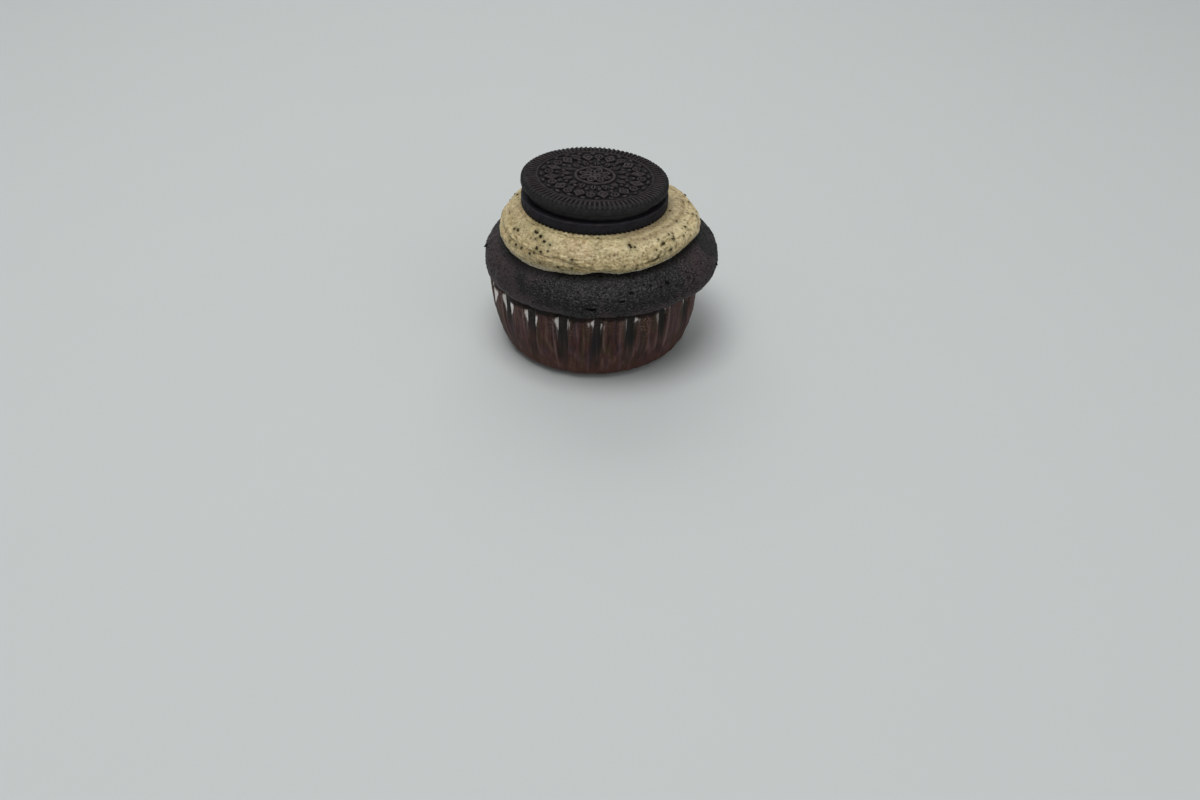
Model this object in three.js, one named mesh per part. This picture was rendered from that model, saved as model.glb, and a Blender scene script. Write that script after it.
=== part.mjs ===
// Chocolate cupcake in a pleated paper case, with a piped ring of frosting and
// a round sandwich cookie lying on top.  Millimetres, +Z up.  The origin is the
// centre of the flat base; -Y is the front.
import * as THREE from 'three';

// ---------------------------------------------------------------- dimensions
// paper case
const CASE_BASE_R = 24.6;        // flat bottom that the cupcake stands on
const CASE_PROFILE = [           // outer radius of the panels against height
  [0.0, 25.4], [0.7, 27.1], [2.0, 28.9], [7.0, 30.8], [14.0, 32.4], [20.0, 32.8], [27.5, 33.0],
];
const CASE_WALL = 0.45;          // modelled thickness of the paper
const CASE_ROWS = [0.0, 0.9, 2.2, 9.0, 17.0];
const PLEAT_SHIFT = 2.2;         // azimuth of the flute nearest the front, degrees
const PLEAT_DEPTH_TOP = 1.45;    // how far a recess is set in at the rim
const PLEAT_DEPTH_BASE = 0.15;   // and near the base
const FLUTES = [                // each flute: shift off even spacing, half its width, lean from base to rim, degrees
  [-0.1, 1.85, 3.2], [-1.7, 2.2, 3.1], [-1.7, 1.9, 1.4], [-1, 3, 1.5], [-0.9, 2.5, 0.8], [0.1, 2.6, 1.9],
  [-0.4, 2.8, 0.7], [0.6, 3.1, 1.9], [0.2, 2.4, 0.7], [1.3, 2.2, 1.8], [0.8, 2.45, 0.9], [1.9, 2.6, 1.6],
  [1.4, 2.5, 1.2], [2.4, 2.3, 1.3], [2.8, 2.8, 0.5], [2.4, 3, -2], [1.6, 2.6, 0.3], [0.9, 2.5, 1.3],
];
const PLEATS = FLUTES.length;
const FLANK_LEFT = 2.3;          // degrees covered by the slanted flank on a recess's left
const FLANK_RIGHT = 1.6;         // and on its right

// cake
const GAP = 0.35;                // clearance kept between touching pieces
const LIP_Z = 24.1;              // lowest edge of the overhanging top, mean height
const TOP_X = 2.5;               // centre of the overhanging top
const TOP_Y = 0.2;
const TOP_PROFILE = [            // radius of the overhanging top against height
  [24.3, 34.6], [27.0, 36.2], [30.4, 35.9], [33.4, 33.8], [35.9, 30.4],
];
const DOME_PROFILE = [           // height of the dome against radius, under the frosting
  [0, 41.2], [10, 40.8], [20, 39.6], [25, 38.5], [28, 37.3], [30.4, 35.9],
];

// frosting
const ICING_X = 1.2;
const ICING_FOOT_R = 28.4;       // where the ring of frosting meets the cake
const ICING_PROFILE = [          // outer radius against height above the foot
  [0.45, 29.6], [1.5, 30.45], [2.7, 30.75], [3.9, 30.4], [5.1, 29.5], [6.3, 27.9], [7.2, 26.1], [7.8, 24.2],
];
const ICING_FOOT_Z = 37.1;
const SEAM_DEPTH = 0.95;         // groove left between the turns of the swirl
const SEAM_WIDTH = 0.75;
const ICING_COLS = 60;

// sandwich cookie
const COOKIE_R = 22.5;           // over the tips of the toothed rim
const TEETH = 90;
const TOOTH_DEPTH = 0.75;
const WAFER_TOP_T = 3.1;
const WAFER_LOW_T = 3.4;
const RIM_CHAMFER = 1.0;
const FILLING_R = 20.5;
const FRONT_TILT = 0.9;                    // degrees, both wafers, front side up
const LOW_CENTRE = [0.05, 1.2, 45.1];      // underside of the lower wafer
const LOW_TILT = 1.15;                     // degrees, right side down
const TOP_CENTRE = [0.07, 1.2, 50.78];     // underside of the upper wafer
const TOP_TILT = 3.04;

// ------------------------------------------------------------------- helpers
const rad = THREE.MathUtils.degToRad;

// smooth interpolation through [x, y] pairs that never overshoots them
function curve(pairs) {
  const n = pairs.length;
  const slope = [];
  for (let i = 0; i < n - 1; i++) {
    slope.push((pairs[i + 1][1] - pairs[i][1]) / (pairs[i + 1][0] - pairs[i][0]));
  }
  const m = [slope[0]];
  for (let i = 1; i < n - 1; i++) {
    const a = slope[i - 1], b = slope[i];
    m.push(a * b <= 0 ? 0 : (2 * a * b) / (a + b));
  }
  m.push(slope[n - 2]);
  return (x) => {
    if (x <= pairs[0][0]) return pairs[0][1] + m[0] * Math.max(x - pairs[0][0], -0.5);
    if (x >= pairs[n - 1][0]) return pairs[n - 1][1];
    let i = 0;
    while (x > pairs[i + 1][0]) i++;
    const h = pairs[i + 1][0] - pairs[i][0];
    const t = (x - pairs[i][0]) / h;
    const t2 = t * t, t3 = t2 * t;
    return (2 * t3 - 3 * t2 + 1) * pairs[i][1] + (t3 - 2 * t2 + t) * h * m[i]
      + (-2 * t3 + 3 * t2) * pairs[i + 1][1] + (t3 - t2) * h * m[i + 1];
  };
}

const bell = (x, centre, width) => {
  const d = ((x - centre + 540) % 360) - 180;
  return Math.exp(-(d * d) / (2 * width * width));
};
const smooth = (a, b, x) => {
  const t = Math.min(Math.max((x - a) / (b - a), 0), 1);
  return t * t * (3 - 2 * t);
};

// Azimuth in degrees: 0 is the front, and it grows to the right.
const polar = (az, r, z, cx = 0, cy = 0) => [cx + r * Math.sin(rad(az)), cy - r * Math.cos(rad(az)), z];

// One closed body from loops of equal length, with a point closing each end.
// The loops run from the bottom centre outwards and round to the last centre.
function loft(first, loops, last) {
  const n = loops[0].length;
  const pos = [...first];
  for (const loop of loops) for (const p of loop) pos.push(...p);
  pos.push(...last);
  const end = 1 + loops.length * n;
  const index = [];
  for (let i = 0; i < n; i++) {
    const j = (i + 1) % n;
    index.push(0, 1 + j, 1 + i);
    for (let k = 0; k < loops.length - 1; k++) {
      const a = 1 + k * n + i, b = 1 + k * n + j, c = a + n, d = b + n;
      if ((i + k) % 2) index.push(a, b, d, a, d, c);
      else index.push(a, b, c, b, d, c);
    }
    const e = 1 + (loops.length - 1) * n;
    index.push(e + i, e + j, end);
  }
  const g = new THREE.BufferGeometry();
  g.setAttribute('position', new THREE.Float32BufferAttribute(pos, 3));
  g.setIndex(index);
  g.computeVertexNormals();
  return g;
}

// --------------------------------------------------------------- pleated case
// Each flute has its own centre and width: no two folds of a baked case agree.
const flutes = [];
FLUTES.forEach(([shift, half, lean], k) => {
  flutes.push({ centre: PLEAT_SHIFT + (k * 360) / PLEATS + shift, half, lean });
});
// Fold corners and the points between them, six columns to a flute.  A column
// lies the share t of the way from an offset off its flute to one off the next.
const columns = [];
for (let k = 0; k < PLEATS; k++) {
  const f = flutes[k], g = flutes[(k + 1) % PLEATS];
  const next = g.centre + (k === PLEATS - 1 ? 360 : 0);
  const add = (t, w, from) => columns.push({ f, g, next, t, w, from, to: -g.half - FLANK_LEFT });
  add(0, 1, -f.half);
  add(0, 1, f.half);
  for (const [t, w] of [[0, 0], [1 / 3, -0.12], [2 / 3, -0.12], [1, 0]]) add(t, w, f.half + FLANK_RIGHT);
}
// the recesses taper gently and run out towards the base
const narrow = (z) => 0.62 + 0.38 * Math.min(Math.max((z - 3) / 14, 0), 1);
const azOf = (c, z) => {
  const n = narrow(z), drop = Math.min(z, 24) / 24 - 1;
  return (c.f.centre + c.f.lean * drop + c.from * n) * (1 - c.t) + (c.next + c.g.lean * drop + c.to * n) * c.t;
};
const caseProfile = curve(CASE_PROFILE);
const pleatDepth = (z) => PLEAT_DEPTH_BASE + (PLEAT_DEPTH_TOP - PLEAT_DEPTH_BASE) * smooth(4.5, 23, z);

function caseLoop(z, inset, scale = 1) {
  return columns.map((c) => {
    const height = typeof z === 'function' ? z(azOf(c, 24)) : z;
    const fade = z === 0 ? 0.4 : 1;
    const r = (caseProfile(height) - pleatDepth(height) * c.w * fade - inset) * scale;
    return polar(azOf(c, height), r, height);
  });
}

// lowest edge of the cake's overhanging top, and the paper's edge tucked under it
const lipZ = (az) => LIP_Z + 0.5 + 0.62 * Math.cos(rad(az - 22)) + 0.55 * Math.cos(rad(2 * (az - 22)))
  + 0.16 * Math.sin(rad(11 * az)) + 0.12 * Math.sin(rad(17 * az + 60));
const rimZ = (az) => lipZ(az) + 0.55;

function paperCase() {
  const loops = [];
  const flat = (r, z) => columns.map((c) => polar(azOf(c, 0), r, z));
  loops.push(flat(CASE_BASE_R, 0));
  for (const z of CASE_ROWS.slice(1)) loops.push(caseLoop(z, 0));
  loops.push(caseLoop(rimZ, 0));
  loops.push(caseLoop(rimZ, CASE_WALL));
  for (const z of CASE_ROWS.slice(1).reverse()) {
    if (z > 2) loops.push(caseLoop(z, CASE_WALL));
  }
  loops.push(caseLoop(0.9, CASE_WALL + 0.55).map((p) => [p[0], p[1], 1.15]));
  loops.push(flat(CASE_BASE_R - 0.6, CASE_WALL));
  return loft([0, 0, 0], loops, [0, 0, CASE_WALL]);
}

// ----------------------------------------------------------------------- cake
const topProfile = curve(TOP_PROFILE);
const domeProfile = curve(DOME_PROFILE);
// gentle unevenness of the baked top
const topBump = (az, z) => 0.22 * Math.sin(rad(3 * az + 40)) + 0.18 * Math.sin(rad(5 * az - 70 + 6 * z))
  + 0.12 * Math.sin(rad(9 * az + 10 * z)) + 1.1 * bell(az, -140, 38);

function cake() {
  const inset = CASE_WALL + GAP;
  const loops = [];
  loops.push(columns.map((c) => polar(azOf(c, 0), CASE_BASE_R - 1.6, CASE_WALL + GAP)));
  for (const z of CASE_ROWS.slice(2)) {
    loops.push(caseLoop(z, inset + (z < 3 ? 0.3 : 0)));
  }
  // up inside the paper's edge, then out under the lip
  loops.push(caseLoop((az) => rimZ(az) + 0.1, inset));
  const under = (az) => {
    const p = polar(az, caseProfile(25) + 0.75, rimZ(az) + 0.55);
    return p;
  };
  loops.push(columns.map((c) => under(azOf(c, 24))));
  const levels = [0.0, 2.7, 6.1, 9.1, 11.6];
  levels.forEach((h, k) => {
    loops.push(columns.map((c) => {
      const az = azOf(c, 24);
      const base = TOP_PROFILE[0][0] + h;
      const z = base + (lipZ(azOf(c, 24)) - LIP_Z - 0.1) * (1 - h / 11.6);
      const r = topProfile(base) + topBump(az, base) * (k === levels.length - 1 ? 0 : 1);
      return polar(az, r, z, TOP_X, TOP_Y);
    }));
  });
  for (const r of [28, 20, 10]) {
    loops.push(columns.map((c) => polar(azOf(c, 24), r, domeProfile(r), TOP_X, TOP_Y)));
  }
  return loft([0, 0, CASE_WALL + GAP], loops, [TOP_X, TOP_Y, domeProfile(0)]);
}

// ------------------------------------------------------------------- frosting
const icingProfile = curve(ICING_PROFILE.map(([h, r]) => [h, r]));
// the swirl's seam starts low at the front and climbs once round, clockwise from above
function seamHeight(az) {
  const turn = ((-az % 360) + 360) % 360;          // 0 at the front, growing to the left
  return 0.6 + 1.9 * smooth(-1, 4, turn) + 1.6 * smooth(4, 24, turn) + 3.4 * smooth(60, 352, turn);
}
function seamDepth(az) {
  const turn = ((-az % 360) + 360) % 360;
  return SEAM_DEPTH * smooth(0, 14, turn) * (1 - smooth(330, 352, turn))
    * (0.75 + 0.25 * Math.cos(rad(turn - 50))) * (1 - 0.6 * bell(turn, 38, 9));
}
const footShift = (az) => 0.75 * bell(az, -50, 18) - 0.65 * bell(az, 0.5, 5) + 0.25 * bell(az, 22, 10)
  - 0.3 * bell(az, 55, 14) + 0.25 * Math.sin(rad(2 * az + 200)) * smooth(70, 120, Math.abs(az));
const domeAt = (x, y) => domeProfile(Math.hypot(x - TOP_X, y - TOP_Y));
// height of the lower wafer's underside at x, y
const seat = (x, y) => LOW_CENTRE[2] - Math.tan(rad(LOW_TILT)) * (x - LOW_CENTRE[0])
  - Math.tan(rad(FRONT_TILT)) * (y - LOW_CENTRE[1]);

function frosting() {
  const az = [];
  for (let i = 0; i < ICING_COLS; i++) az.push((360 * i) / ICING_COLS - 180);
  const loops = [];
  for (const r of [10, 20, ICING_FOOT_R - 1.6]) {
    loops.push(az.map((a) => {
      const p = polar(a, r + (r > 25 ? footShift(a) : 0), 0, ICING_X, 0);
      return [p[0], p[1], domeAt(p[0], p[1]) + GAP];
    }));
  }
  for (const [h] of ICING_PROFILE) {
    loops.push(az.map((a) => {
      const groove = seamDepth(a) * Math.exp(-(((h - seamHeight(a)) / SEAM_WIDTH) ** 2));
      const wave = 0.18 * Math.sin(rad(4 * a + 50 * h)) * Math.min(h / 2, 1);
      const low = 1 - smooth(0, 4.5, h);
      const r = icingProfile(h) - groove + footShift(a) * low + wave;
      const p = polar(a, r, 0, ICING_X, 0);
      const foot = ICING_FOOT_Z - 0.55 * footShift(a) * low;
      // never under the cake, and level with the cookie's underside at the top
      const tilt = (seat(p[0], p[1]) - LOW_CENTRE[2]) * smooth(5, 7.8, h);
      let z = Math.max(foot + h, domeAt(p[0], p[1]) + GAP + 0.3);
      z += tilt;
      return [p[0], p[1], z];
    }));
  }
  for (const r of [22.6, 12]) {
    loops.push(az.map((a) => {
      const p = polar(a, r, 0, LOW_CENTRE[0], LOW_CENTRE[1]);
      return [p[0], p[1], seat(p[0], p[1]) - GAP];
    }));
  }
  const start = [ICING_X, 0, domeAt(ICING_X, 0) + GAP];
  return loft(start, loops, [LOW_CENTRE[0], LOW_CENTRE[1], seat(LOW_CENTRE[0], LOW_CENTRE[1]) - GAP]);
}

// --------------------------------------------------------------------- cookie
// Disc with teeth that run out down its side.  Its flat inner face is at z = 0 and
// its chamfered, toothed face at z = thickness, or the other way up with flip.
function wafer(thickness, flip) {
  const ring = (tip, valley, z) => {
    const loop = [];
    for (let i = 0; i < TEETH * 2; i++) {
      loop.push(polar((360 * (i + 0.5)) / (TEETH * 2) - 180, i % 2 ? valley : tip, z));
    }
    return loop;
  };
  const tip = COOKIE_R, valley = COOKIE_R - TOOTH_DEPTH;
  const bands = [
    [tip - 0.05, tip - 0.05, 0],
    [tip - 0.05, valley, thickness * 0.66],
    [tip - RIM_CHAMFER, valley - RIM_CHAMFER, thickness],
  ];
  if (flip) {
    bands.reverse();
    for (const b of bands) b[2] = thickness - b[2];
  }
  return loft([0, 0, 0], bands.map((b) => ring(...b)), [0, 0, thickness]);
}

function filling() {
  const space = TOP_CENTRE[2] - LOW_CENTRE[2] - WAFER_LOW_T;
  const n = 44;
  const loop = (z) => {
    const out = [];
    for (let i = 0; i < n; i++) {
      const p = polar((360 * i) / n - 180, FILLING_R + 0.25 * Math.sin(rad((3 * 360 * i) / n)), 0);
      out.push([p[0], p[1], z(p[0])]);
    }
    return out;
  };
  const wedge = Math.tan(rad(TOP_TILT - LOW_TILT));
  const top = (x) => space - 0.42 - wedge * x;
  return loft([0, 0, 0.3], [loop(() => 0.3), loop(top)], [0, 0, top(0)]);
}

// ------------------------------------------------------------------- assembly
const paint = (color, roughness) => new THREE.MeshStandardMaterial({ color, roughness, metalness: 0 });
const group = new THREE.Group();
function add(parent, name, geometry, material) {
  const mesh = new THREE.Mesh(geometry, material);
  mesh.name = name;
  parent.add(mesh);
  return mesh;
}

add(group, 'paper_case', paperCase(), paint(0x3a2723, 0.35));
add(group, 'cake', cake(), paint(0x2a2526, 0.85));
add(group, 'frosting', frosting(), paint(0xa8986f, 0.6));

const lower = new THREE.Group();
lower.position.set(...LOW_CENTRE);
lower.rotation.set(-rad(FRONT_TILT), rad(LOW_TILT), 0);
group.add(lower);
add(lower, 'cookie_bottom_wafer', wafer(WAFER_LOW_T, true), paint(0x242326, 0.7));
const cream = add(lower, 'cookie_filling', filling(), paint(0x1a1716, 0.6));
cream.position.z = WAFER_LOW_T;

const upper = new THREE.Group();
upper.position.set(...TOP_CENTRE);
upper.rotation.set(-rad(FRONT_TILT), rad(TOP_TILT), 0);
group.add(upper);
add(upper, 'cookie_top_wafer', wafer(WAFER_TOP_T, false), paint(0x2b292a, 0.7));

export default group;
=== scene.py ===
import math

import bpy
import numpy as np
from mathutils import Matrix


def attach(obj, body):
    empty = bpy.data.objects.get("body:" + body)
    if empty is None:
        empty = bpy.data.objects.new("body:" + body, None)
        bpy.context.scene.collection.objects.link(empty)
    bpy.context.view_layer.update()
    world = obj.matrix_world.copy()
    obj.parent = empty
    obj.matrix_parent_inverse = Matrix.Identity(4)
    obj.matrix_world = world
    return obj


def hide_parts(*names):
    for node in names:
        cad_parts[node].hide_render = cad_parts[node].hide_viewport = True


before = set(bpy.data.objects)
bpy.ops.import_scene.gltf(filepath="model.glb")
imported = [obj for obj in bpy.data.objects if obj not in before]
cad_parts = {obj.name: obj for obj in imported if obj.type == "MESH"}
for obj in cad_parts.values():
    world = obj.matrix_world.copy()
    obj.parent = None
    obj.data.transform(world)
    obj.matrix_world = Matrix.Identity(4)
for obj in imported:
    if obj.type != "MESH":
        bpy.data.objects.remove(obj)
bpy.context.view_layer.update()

MM = 0.001
rad = np.radians


# ------------------------------------------------------------------ helpers
def curve(pairs):
    """Smooth interpolation through [x, y] pairs that never overshoots them."""
    xs = np.array([p[0] for p in pairs], float)
    ys = np.array([p[1] for p in pairs], float)
    s = np.diff(ys) / np.diff(xs)
    m = np.zeros(len(xs))
    m[0], m[-1] = s[0], s[-1]
    for i in range(1, len(xs) - 1):
        a, b = s[i - 1], s[i]
        m[i] = 0.0 if a * b <= 0 else 2 * a * b / (a + b)

    def f(x):
        x = np.asarray(x, float)
        c = np.clip(x, xs[0], xs[-1])
        i = np.clip(np.searchsorted(xs, c, side="right") - 1, 0, len(xs) - 2)
        h = xs[i + 1] - xs[i]
        t = (c - xs[i]) / h
        y = ((2 * t**3 - 3 * t**2 + 1) * ys[i] + (t**3 - 2 * t**2 + t) * h * m[i]
             + (-2 * t**3 + 3 * t**2) * ys[i + 1] + (t**3 - t**2) * h * m[i + 1])
        return y + np.where(x < xs[0], m[0] * np.maximum(x - xs[0], -0.5), 0.0)

    return f


def smooth(a, b, x):
    t = np.clip((np.asarray(x, float) - a) / (b - a), 0, 1)
    return t * t * (3 - 2 * t)


def wrap(d):
    return (np.asarray(d, float) + 180.0) % 360.0 - 180.0


def bell(x, centre, width):
    return np.exp(-(wrap(x - centre) ** 2) / (2 * width * width))


def hash32(ix, iy, iz, seed):
    u = np.uint32
    h = (ix & 0xFFFFFFFF).astype(u) * u(73856093)
    h = h ^ ((iy & 0xFFFFFFFF).astype(u) * u(19349663))
    h = h ^ ((iz & 0xFFFFFFFF).astype(u) * u(83492791))
    h = h ^ u((seed * 2654435761) & 0xFFFFFFFF)
    h = h ^ (h >> u(16))
    h = h * u(0x7FEB352D)
    h = h ^ (h >> u(15))
    h = h * u(0x846CA68B)
    return h ^ (h >> u(16))


def rnd(ix, iy, iz, seed):
    return hash32(ix, iy, iz, seed).astype(np.float64) / 4294967295.0


GRADS = np.array([[1, 1, 0], [-1, 1, 0], [1, -1, 0], [-1, -1, 0], [1, 0, 1], [-1, 0, 1],
                  [1, 0, -1], [-1, 0, -1], [0, 1, 1], [0, -1, 1], [0, 1, -1], [0, -1, -1]], float)


def perlin(P, size, seed):
    """Gradient noise, about -0.7 to 0.7, with cells of the given size."""
    q = P.reshape(-1, 3) / size
    i0 = np.floor(q).astype(np.int64)
    f = q - i0
    w = f * f * f * (f * (f * 6 - 15) + 10)
    out = np.zeros(len(q))
    for dx in (0, 1):
        for dy in (0, 1):
            for dz in (0, 1):
                g = GRADS[hash32(i0[:, 0] + dx, i0[:, 1] + dy, i0[:, 2] + dz, seed) % 12]
                d = f - np.array([dx, dy, dz])
                k = (w[:, 0] if dx else 1 - w[:, 0]) * (w[:, 1] if dy else 1 - w[:, 1]) * (w[:, 2] if dz else 1 - w[:, 2])
                out += k * (g * d).sum(1)
    return out.reshape(P.shape[:-1])


def fbm(P, size, octaves, seed, gain=0.5):
    out, a, total = 0.0, 1.0, 0.0
    for k in range(octaves):
        out = out + a * perlin(P, size / 2**k, seed + 17 * k)
        total += a
        a *= gain
    return out / total


def ridged(P, size, seed):
    return 1 - 2.2 * np.abs(perlin(P, size, seed))


def cells(P, size, seed, share=1.0, lo=0.3, hi=0.5):
    """Scattered round spots: 0 at a spot's centre, 1 at its edge and beyond. A cell holds a spot with the chance
    share, of a radius between lo and hi cells. Also gives each point its spot's random number."""
    q = P.reshape(-1, 3) / size
    i0 = np.floor(q).astype(np.int64)
    best = np.full(len(q), 9.0)
    which = np.zeros(len(q))
    for dx in (-1, 0, 1):
        for dy in (-1, 0, 1):
            for dz in (-1, 0, 1):
                cx, cy, cz = i0[:, 0] + dx, i0[:, 1] + dy, i0[:, 2] + dz
                px = cx + 0.5 + 0.8 * (rnd(cx, cy, cz, seed) - 0.5)
                py = cy + 0.5 + 0.8 * (rnd(cx, cy, cz, seed + 1) - 0.5)
                pz = cz + 0.5 + 0.8 * (rnd(cx, cy, cz, seed + 2) - 0.5)
                r = lo + (hi - lo) * rnd(cx, cy, cz, seed + 3) ** 2
                on = rnd(cx, cy, cz, seed + 4) < share
                d = np.sqrt((q[:, 0] - px) ** 2 + (q[:, 1] - py) ** 2 + (q[:, 2] - pz) ** 2) / r
                d = np.where(on, d, 9.0)
                m = d < best
                best = np.where(m, d, best)
                which = np.where(m, rnd(cx, cy, cz, seed + 5), which)
    s = P.shape[:-1]
    return np.minimum(best, 1.0).reshape(s), which.reshape(s)


def at(az, r, z, cx=0.0, cy=0.0):
    """Azimuth in degrees: 0 is the front (-Y), and it grows to the right (+X)."""
    az, r, z = np.broadcast_arrays(rad(az), r, z)
    return np.stack([cx + r * np.sin(az), cy - r * np.cos(az), z], -1)


def normals_of(X):
    du = np.roll(X, -1, 1) - np.roll(X, 1, 1)
    dv = np.gradient(X, axis=0)
    n = np.cross(du, dv)
    return n / np.maximum(np.linalg.norm(n, axis=-1, keepdims=True), 1e-12)


def spread(control, counts):
    """Rows through rows of control points (K, N, 3), with counts[k] steps from row k to k+1 (Catmull-Rom)."""
    P = np.asarray(control, float)
    K = len(P)
    rows = []
    for k in range(K - 1):
        p0 = P[k - 1] if k else 2 * P[0] - P[1]
        p1, p2 = P[k], P[k + 1]
        p3 = P[k + 2] if k + 2 < K else 2 * P[-1] - P[-2]
        for s in range(counts[k]):
            t = s / counts[k]
            rows.append(0.5 * (2 * p1 + (p2 - p0) * t + (2 * p0 - 5 * p1 + 4 * p2 - p3) * t * t
                               + (3 * p1 - 3 * p2 + p3 - p0) * t**3))
    rows.append(P[-1])
    return np.array(rows)


def mesh_from(name, co, faces, values=None, smooth_faces=True):
    """co in millimetres; faces is a list of integer arrays (n, 3) or (n, 4)."""
    me = bpy.data.meshes.new(name)
    me.vertices.add(len(co))
    me.vertices.foreach_set("co", (np.asarray(co, float) * MM).astype(np.float32).ravel())
    loops = np.concatenate([f.ravel() for f in faces]).astype(np.int32)
    sizes = np.concatenate([np.full(len(f), f.shape[1]) for f in faces])
    starts = np.concatenate([[0], np.cumsum(sizes)[:-1]]).astype(np.int32)
    me.loops.add(len(loops))
    me.loops.foreach_set("vertex_index", loops)
    me.polygons.add(len(sizes))
    me.polygons.foreach_set("loop_start", starts)
    me.polygons.foreach_set("use_smooth", np.full(len(sizes), smooth_faces, bool))
    me.update(calc_edges=True)
    me.validate()
    for key, v in (values or {}).items():
        a = me.attributes.new(key, "FLOAT", "POINT")
        a.data.foreach_set("value", np.asarray(v, np.float32).ravel())
    ob = bpy.data.objects.new(name, me)
    bpy.context.scene.collection.objects.link(ob)
    return ob


def lathe(name, first, rows, last, values=None):
    """A closed body from rows (R, N, 3) that run from a bottom point outwards and round to a last point."""
    R, N = rows.shape[:2]
    co = np.concatenate([[first], rows.reshape(-1, 3), [last]])
    i = np.arange(N)
    j = (i + 1) % N
    k = np.arange(R - 1)[:, None] * N + 1
    quads = np.stack([k + i, k + j, k + N + j, k + N + i], -1).reshape(-1, 4)
    low = np.stack([np.zeros(N, int), 1 + j, 1 + i], -1)
    e = 1 + (R - 1) * N
    top = np.stack([e + i, e + j, np.full(N, e + N)], -1)
    vals = {}
    for key, v in (values or {}).items():
        v = np.broadcast_to(v, (R, N))
        vals[key] = np.concatenate([[v[0].mean()], v.ravel(), [v[-1].mean()]])
    return mesh_from(name, co, [quads, low, top], vals)


# ------------------------------------------------------------ the frame's sizes
CASE_BASE_R = 24.6
case_profile = curve([[0.0, 25.4], [0.7, 27.1], [2.0, 28.9], [7.0, 30.8], [14.0, 32.4], [20.0, 32.8], [27.5, 33.0]])
CASE_WALL = 0.45
PLEATS, PLEAT_SHIFT = 18, 2.2
FLANK_LEFT, FLANK_RIGHT = 2.3, 1.6
GAP = 0.35
LIP_Z, TOP_X, TOP_Y = 24.1, 2.5, 0.2
top_profile = curve([[24.3, 34.6], [27.0, 36.2], [30.4, 35.9], [33.4, 33.8], [35.9, 30.4]])
dome = curve([[0, 41.2], [10, 40.8], [20, 39.6], [25, 38.5], [28, 37.3], [30.4, 35.9]])
ICING_X, ICING_FOOT_R, ICING_FOOT_Z = 1.2, 28.4, 37.1
ICING = [[0.45, 29.6], [1.5, 30.45], [2.7, 30.75], [3.9, 30.4], [5.1, 29.5], [6.3, 27.9], [7.2, 26.1], [7.8, 24.2]]
icing_profile = curve(ICING)
COOKIE_R, TEETH = 22.5, 90
WAFER_TOP_T, WAFER_LOW_T, FILLING_R = 3.1, 3.4, 20.5
FRONT_TILT = 0.9
LOW_CENTRE, LOW_TILT = np.array([0.05, 1.2, 45.1]), 1.15
TOP_CENTRE, TOP_TILT = np.array([0.07, 1.2, 50.78]), 3.04


def pleat_depth(z):
    return 0.15 + 1.3 * smooth(4.5, 23, z)


def turned(tilt):
    """Rotation of a wafer: right side down by tilt, then front side up."""
    c, s = math.cos(math.radians(tilt)), math.sin(math.radians(tilt))
    about_y = np.array([[c, 0, s], [0, 1, 0], [-s, 0, c]])
    c, s = math.cos(math.radians(FRONT_TILT)), math.sin(math.radians(FRONT_TILT))
    return np.array([[1, 0, 0], [0, c, s], [0, -s, c]]) @ about_y


def drop(z):
    return np.minimum(z, 24) / 24 - 1


def lip_z(az):
    return (LIP_Z + 0.5 + 0.62 * np.cos(rad(az - 22)) + 0.55 * np.cos(rad(2 * (az - 22)))
            + 0.16 * np.sin(rad(11 * az)) + 0.12 * np.sin(rad(17 * az + 60)))


def rim_z(az):
    return lip_z(az) + 0.55


K = np.arange(PLEATS)
# each flute: shift off even spacing, half its width, lean from base to rim, degrees
FLUTES = np.array([
    [-0.1, 1.85, 3.2], [-1.7, 2.2, 3.1], [-1.7, 1.9, 1.4], [-1, 3, 1.5], [-0.9, 2.5, 0.8], [0.1, 2.6, 1.9],
    [-0.4, 2.8, 0.7], [0.6, 3.1, 1.9], [0.2, 2.4, 0.7], [1.3, 2.2, 1.8], [0.8, 2.45, 0.9], [1.9, 2.6, 1.6],
    [1.4, 2.5, 1.2], [2.4, 2.3, 1.3], [2.8, 2.8, 0.5], [2.4, 3, -2], [1.6, 2.6, 0.3], [0.9, 2.5, 1.3],
])
FLUTE, HALF, LEAN = PLEAT_SHIFT + K * 20.0 + FLUTES[:, 0], FLUTES[:, 1], FLUTES[:, 2]


def seam_height(az):
    turn = (-az) % 360
    return (0.6 + 1.9 * smooth(-1, 4, turn) + 1.6 * smooth(4, 24, turn) + 3.4 * smooth(60, 352, turn))


def seam_depth(az):
    turn = (-az) % 360
    return (np.interp(turn, [0, 8, 14, 26, 30, 42, 46, 50, 56, 72, 80, 95, 360],
                      [0, 0.35, 0.62, 0.60, 0.36, 0.36, 0.10, 0.12, 0.40, 0.50, 0.62, 0.9, 1])
            * (1 - smooth(330, 352, turn)) * (0.85 + 0.15 * np.cos(rad(turn - 50))))


def seam_width(az):
    return np.interp((-az) % 360, [0, 26, 30, 43, 50, 56, 360], [0.58, 0.52, 0.28, 0.28, 0.42, 0.50, 0.45])


def foot_shift(az):
    return (0.75 * bell(az, -50, 18) - 0.65 * bell(az, 0.5, 5) + 0.25 * bell(az, 22, 10) - 0.3 * bell(az, 55, 14)
            + 0.25 * np.sin(rad(2 * az + 200)) * smooth(70, 120, np.abs(wrap(az))))


def dome_at(x, y):
    return dome(np.hypot(x - TOP_X, y - TOP_Y))


def seat(p):
    return (LOW_CENTRE[2] - math.tan(math.radians(LOW_TILT)) * (p[..., 0] - LOW_CENTRE[0])
            - math.tan(math.radians(FRONT_TILT)) * (p[..., 1] - LOW_CENTRE[1]))


# ---------------------------------------------------------------- paper case
def narrow(z, shift=0.0):
    return 0.62 + 0.38 * np.clip((z - 3 - shift) / 14, 0, 1)


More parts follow.
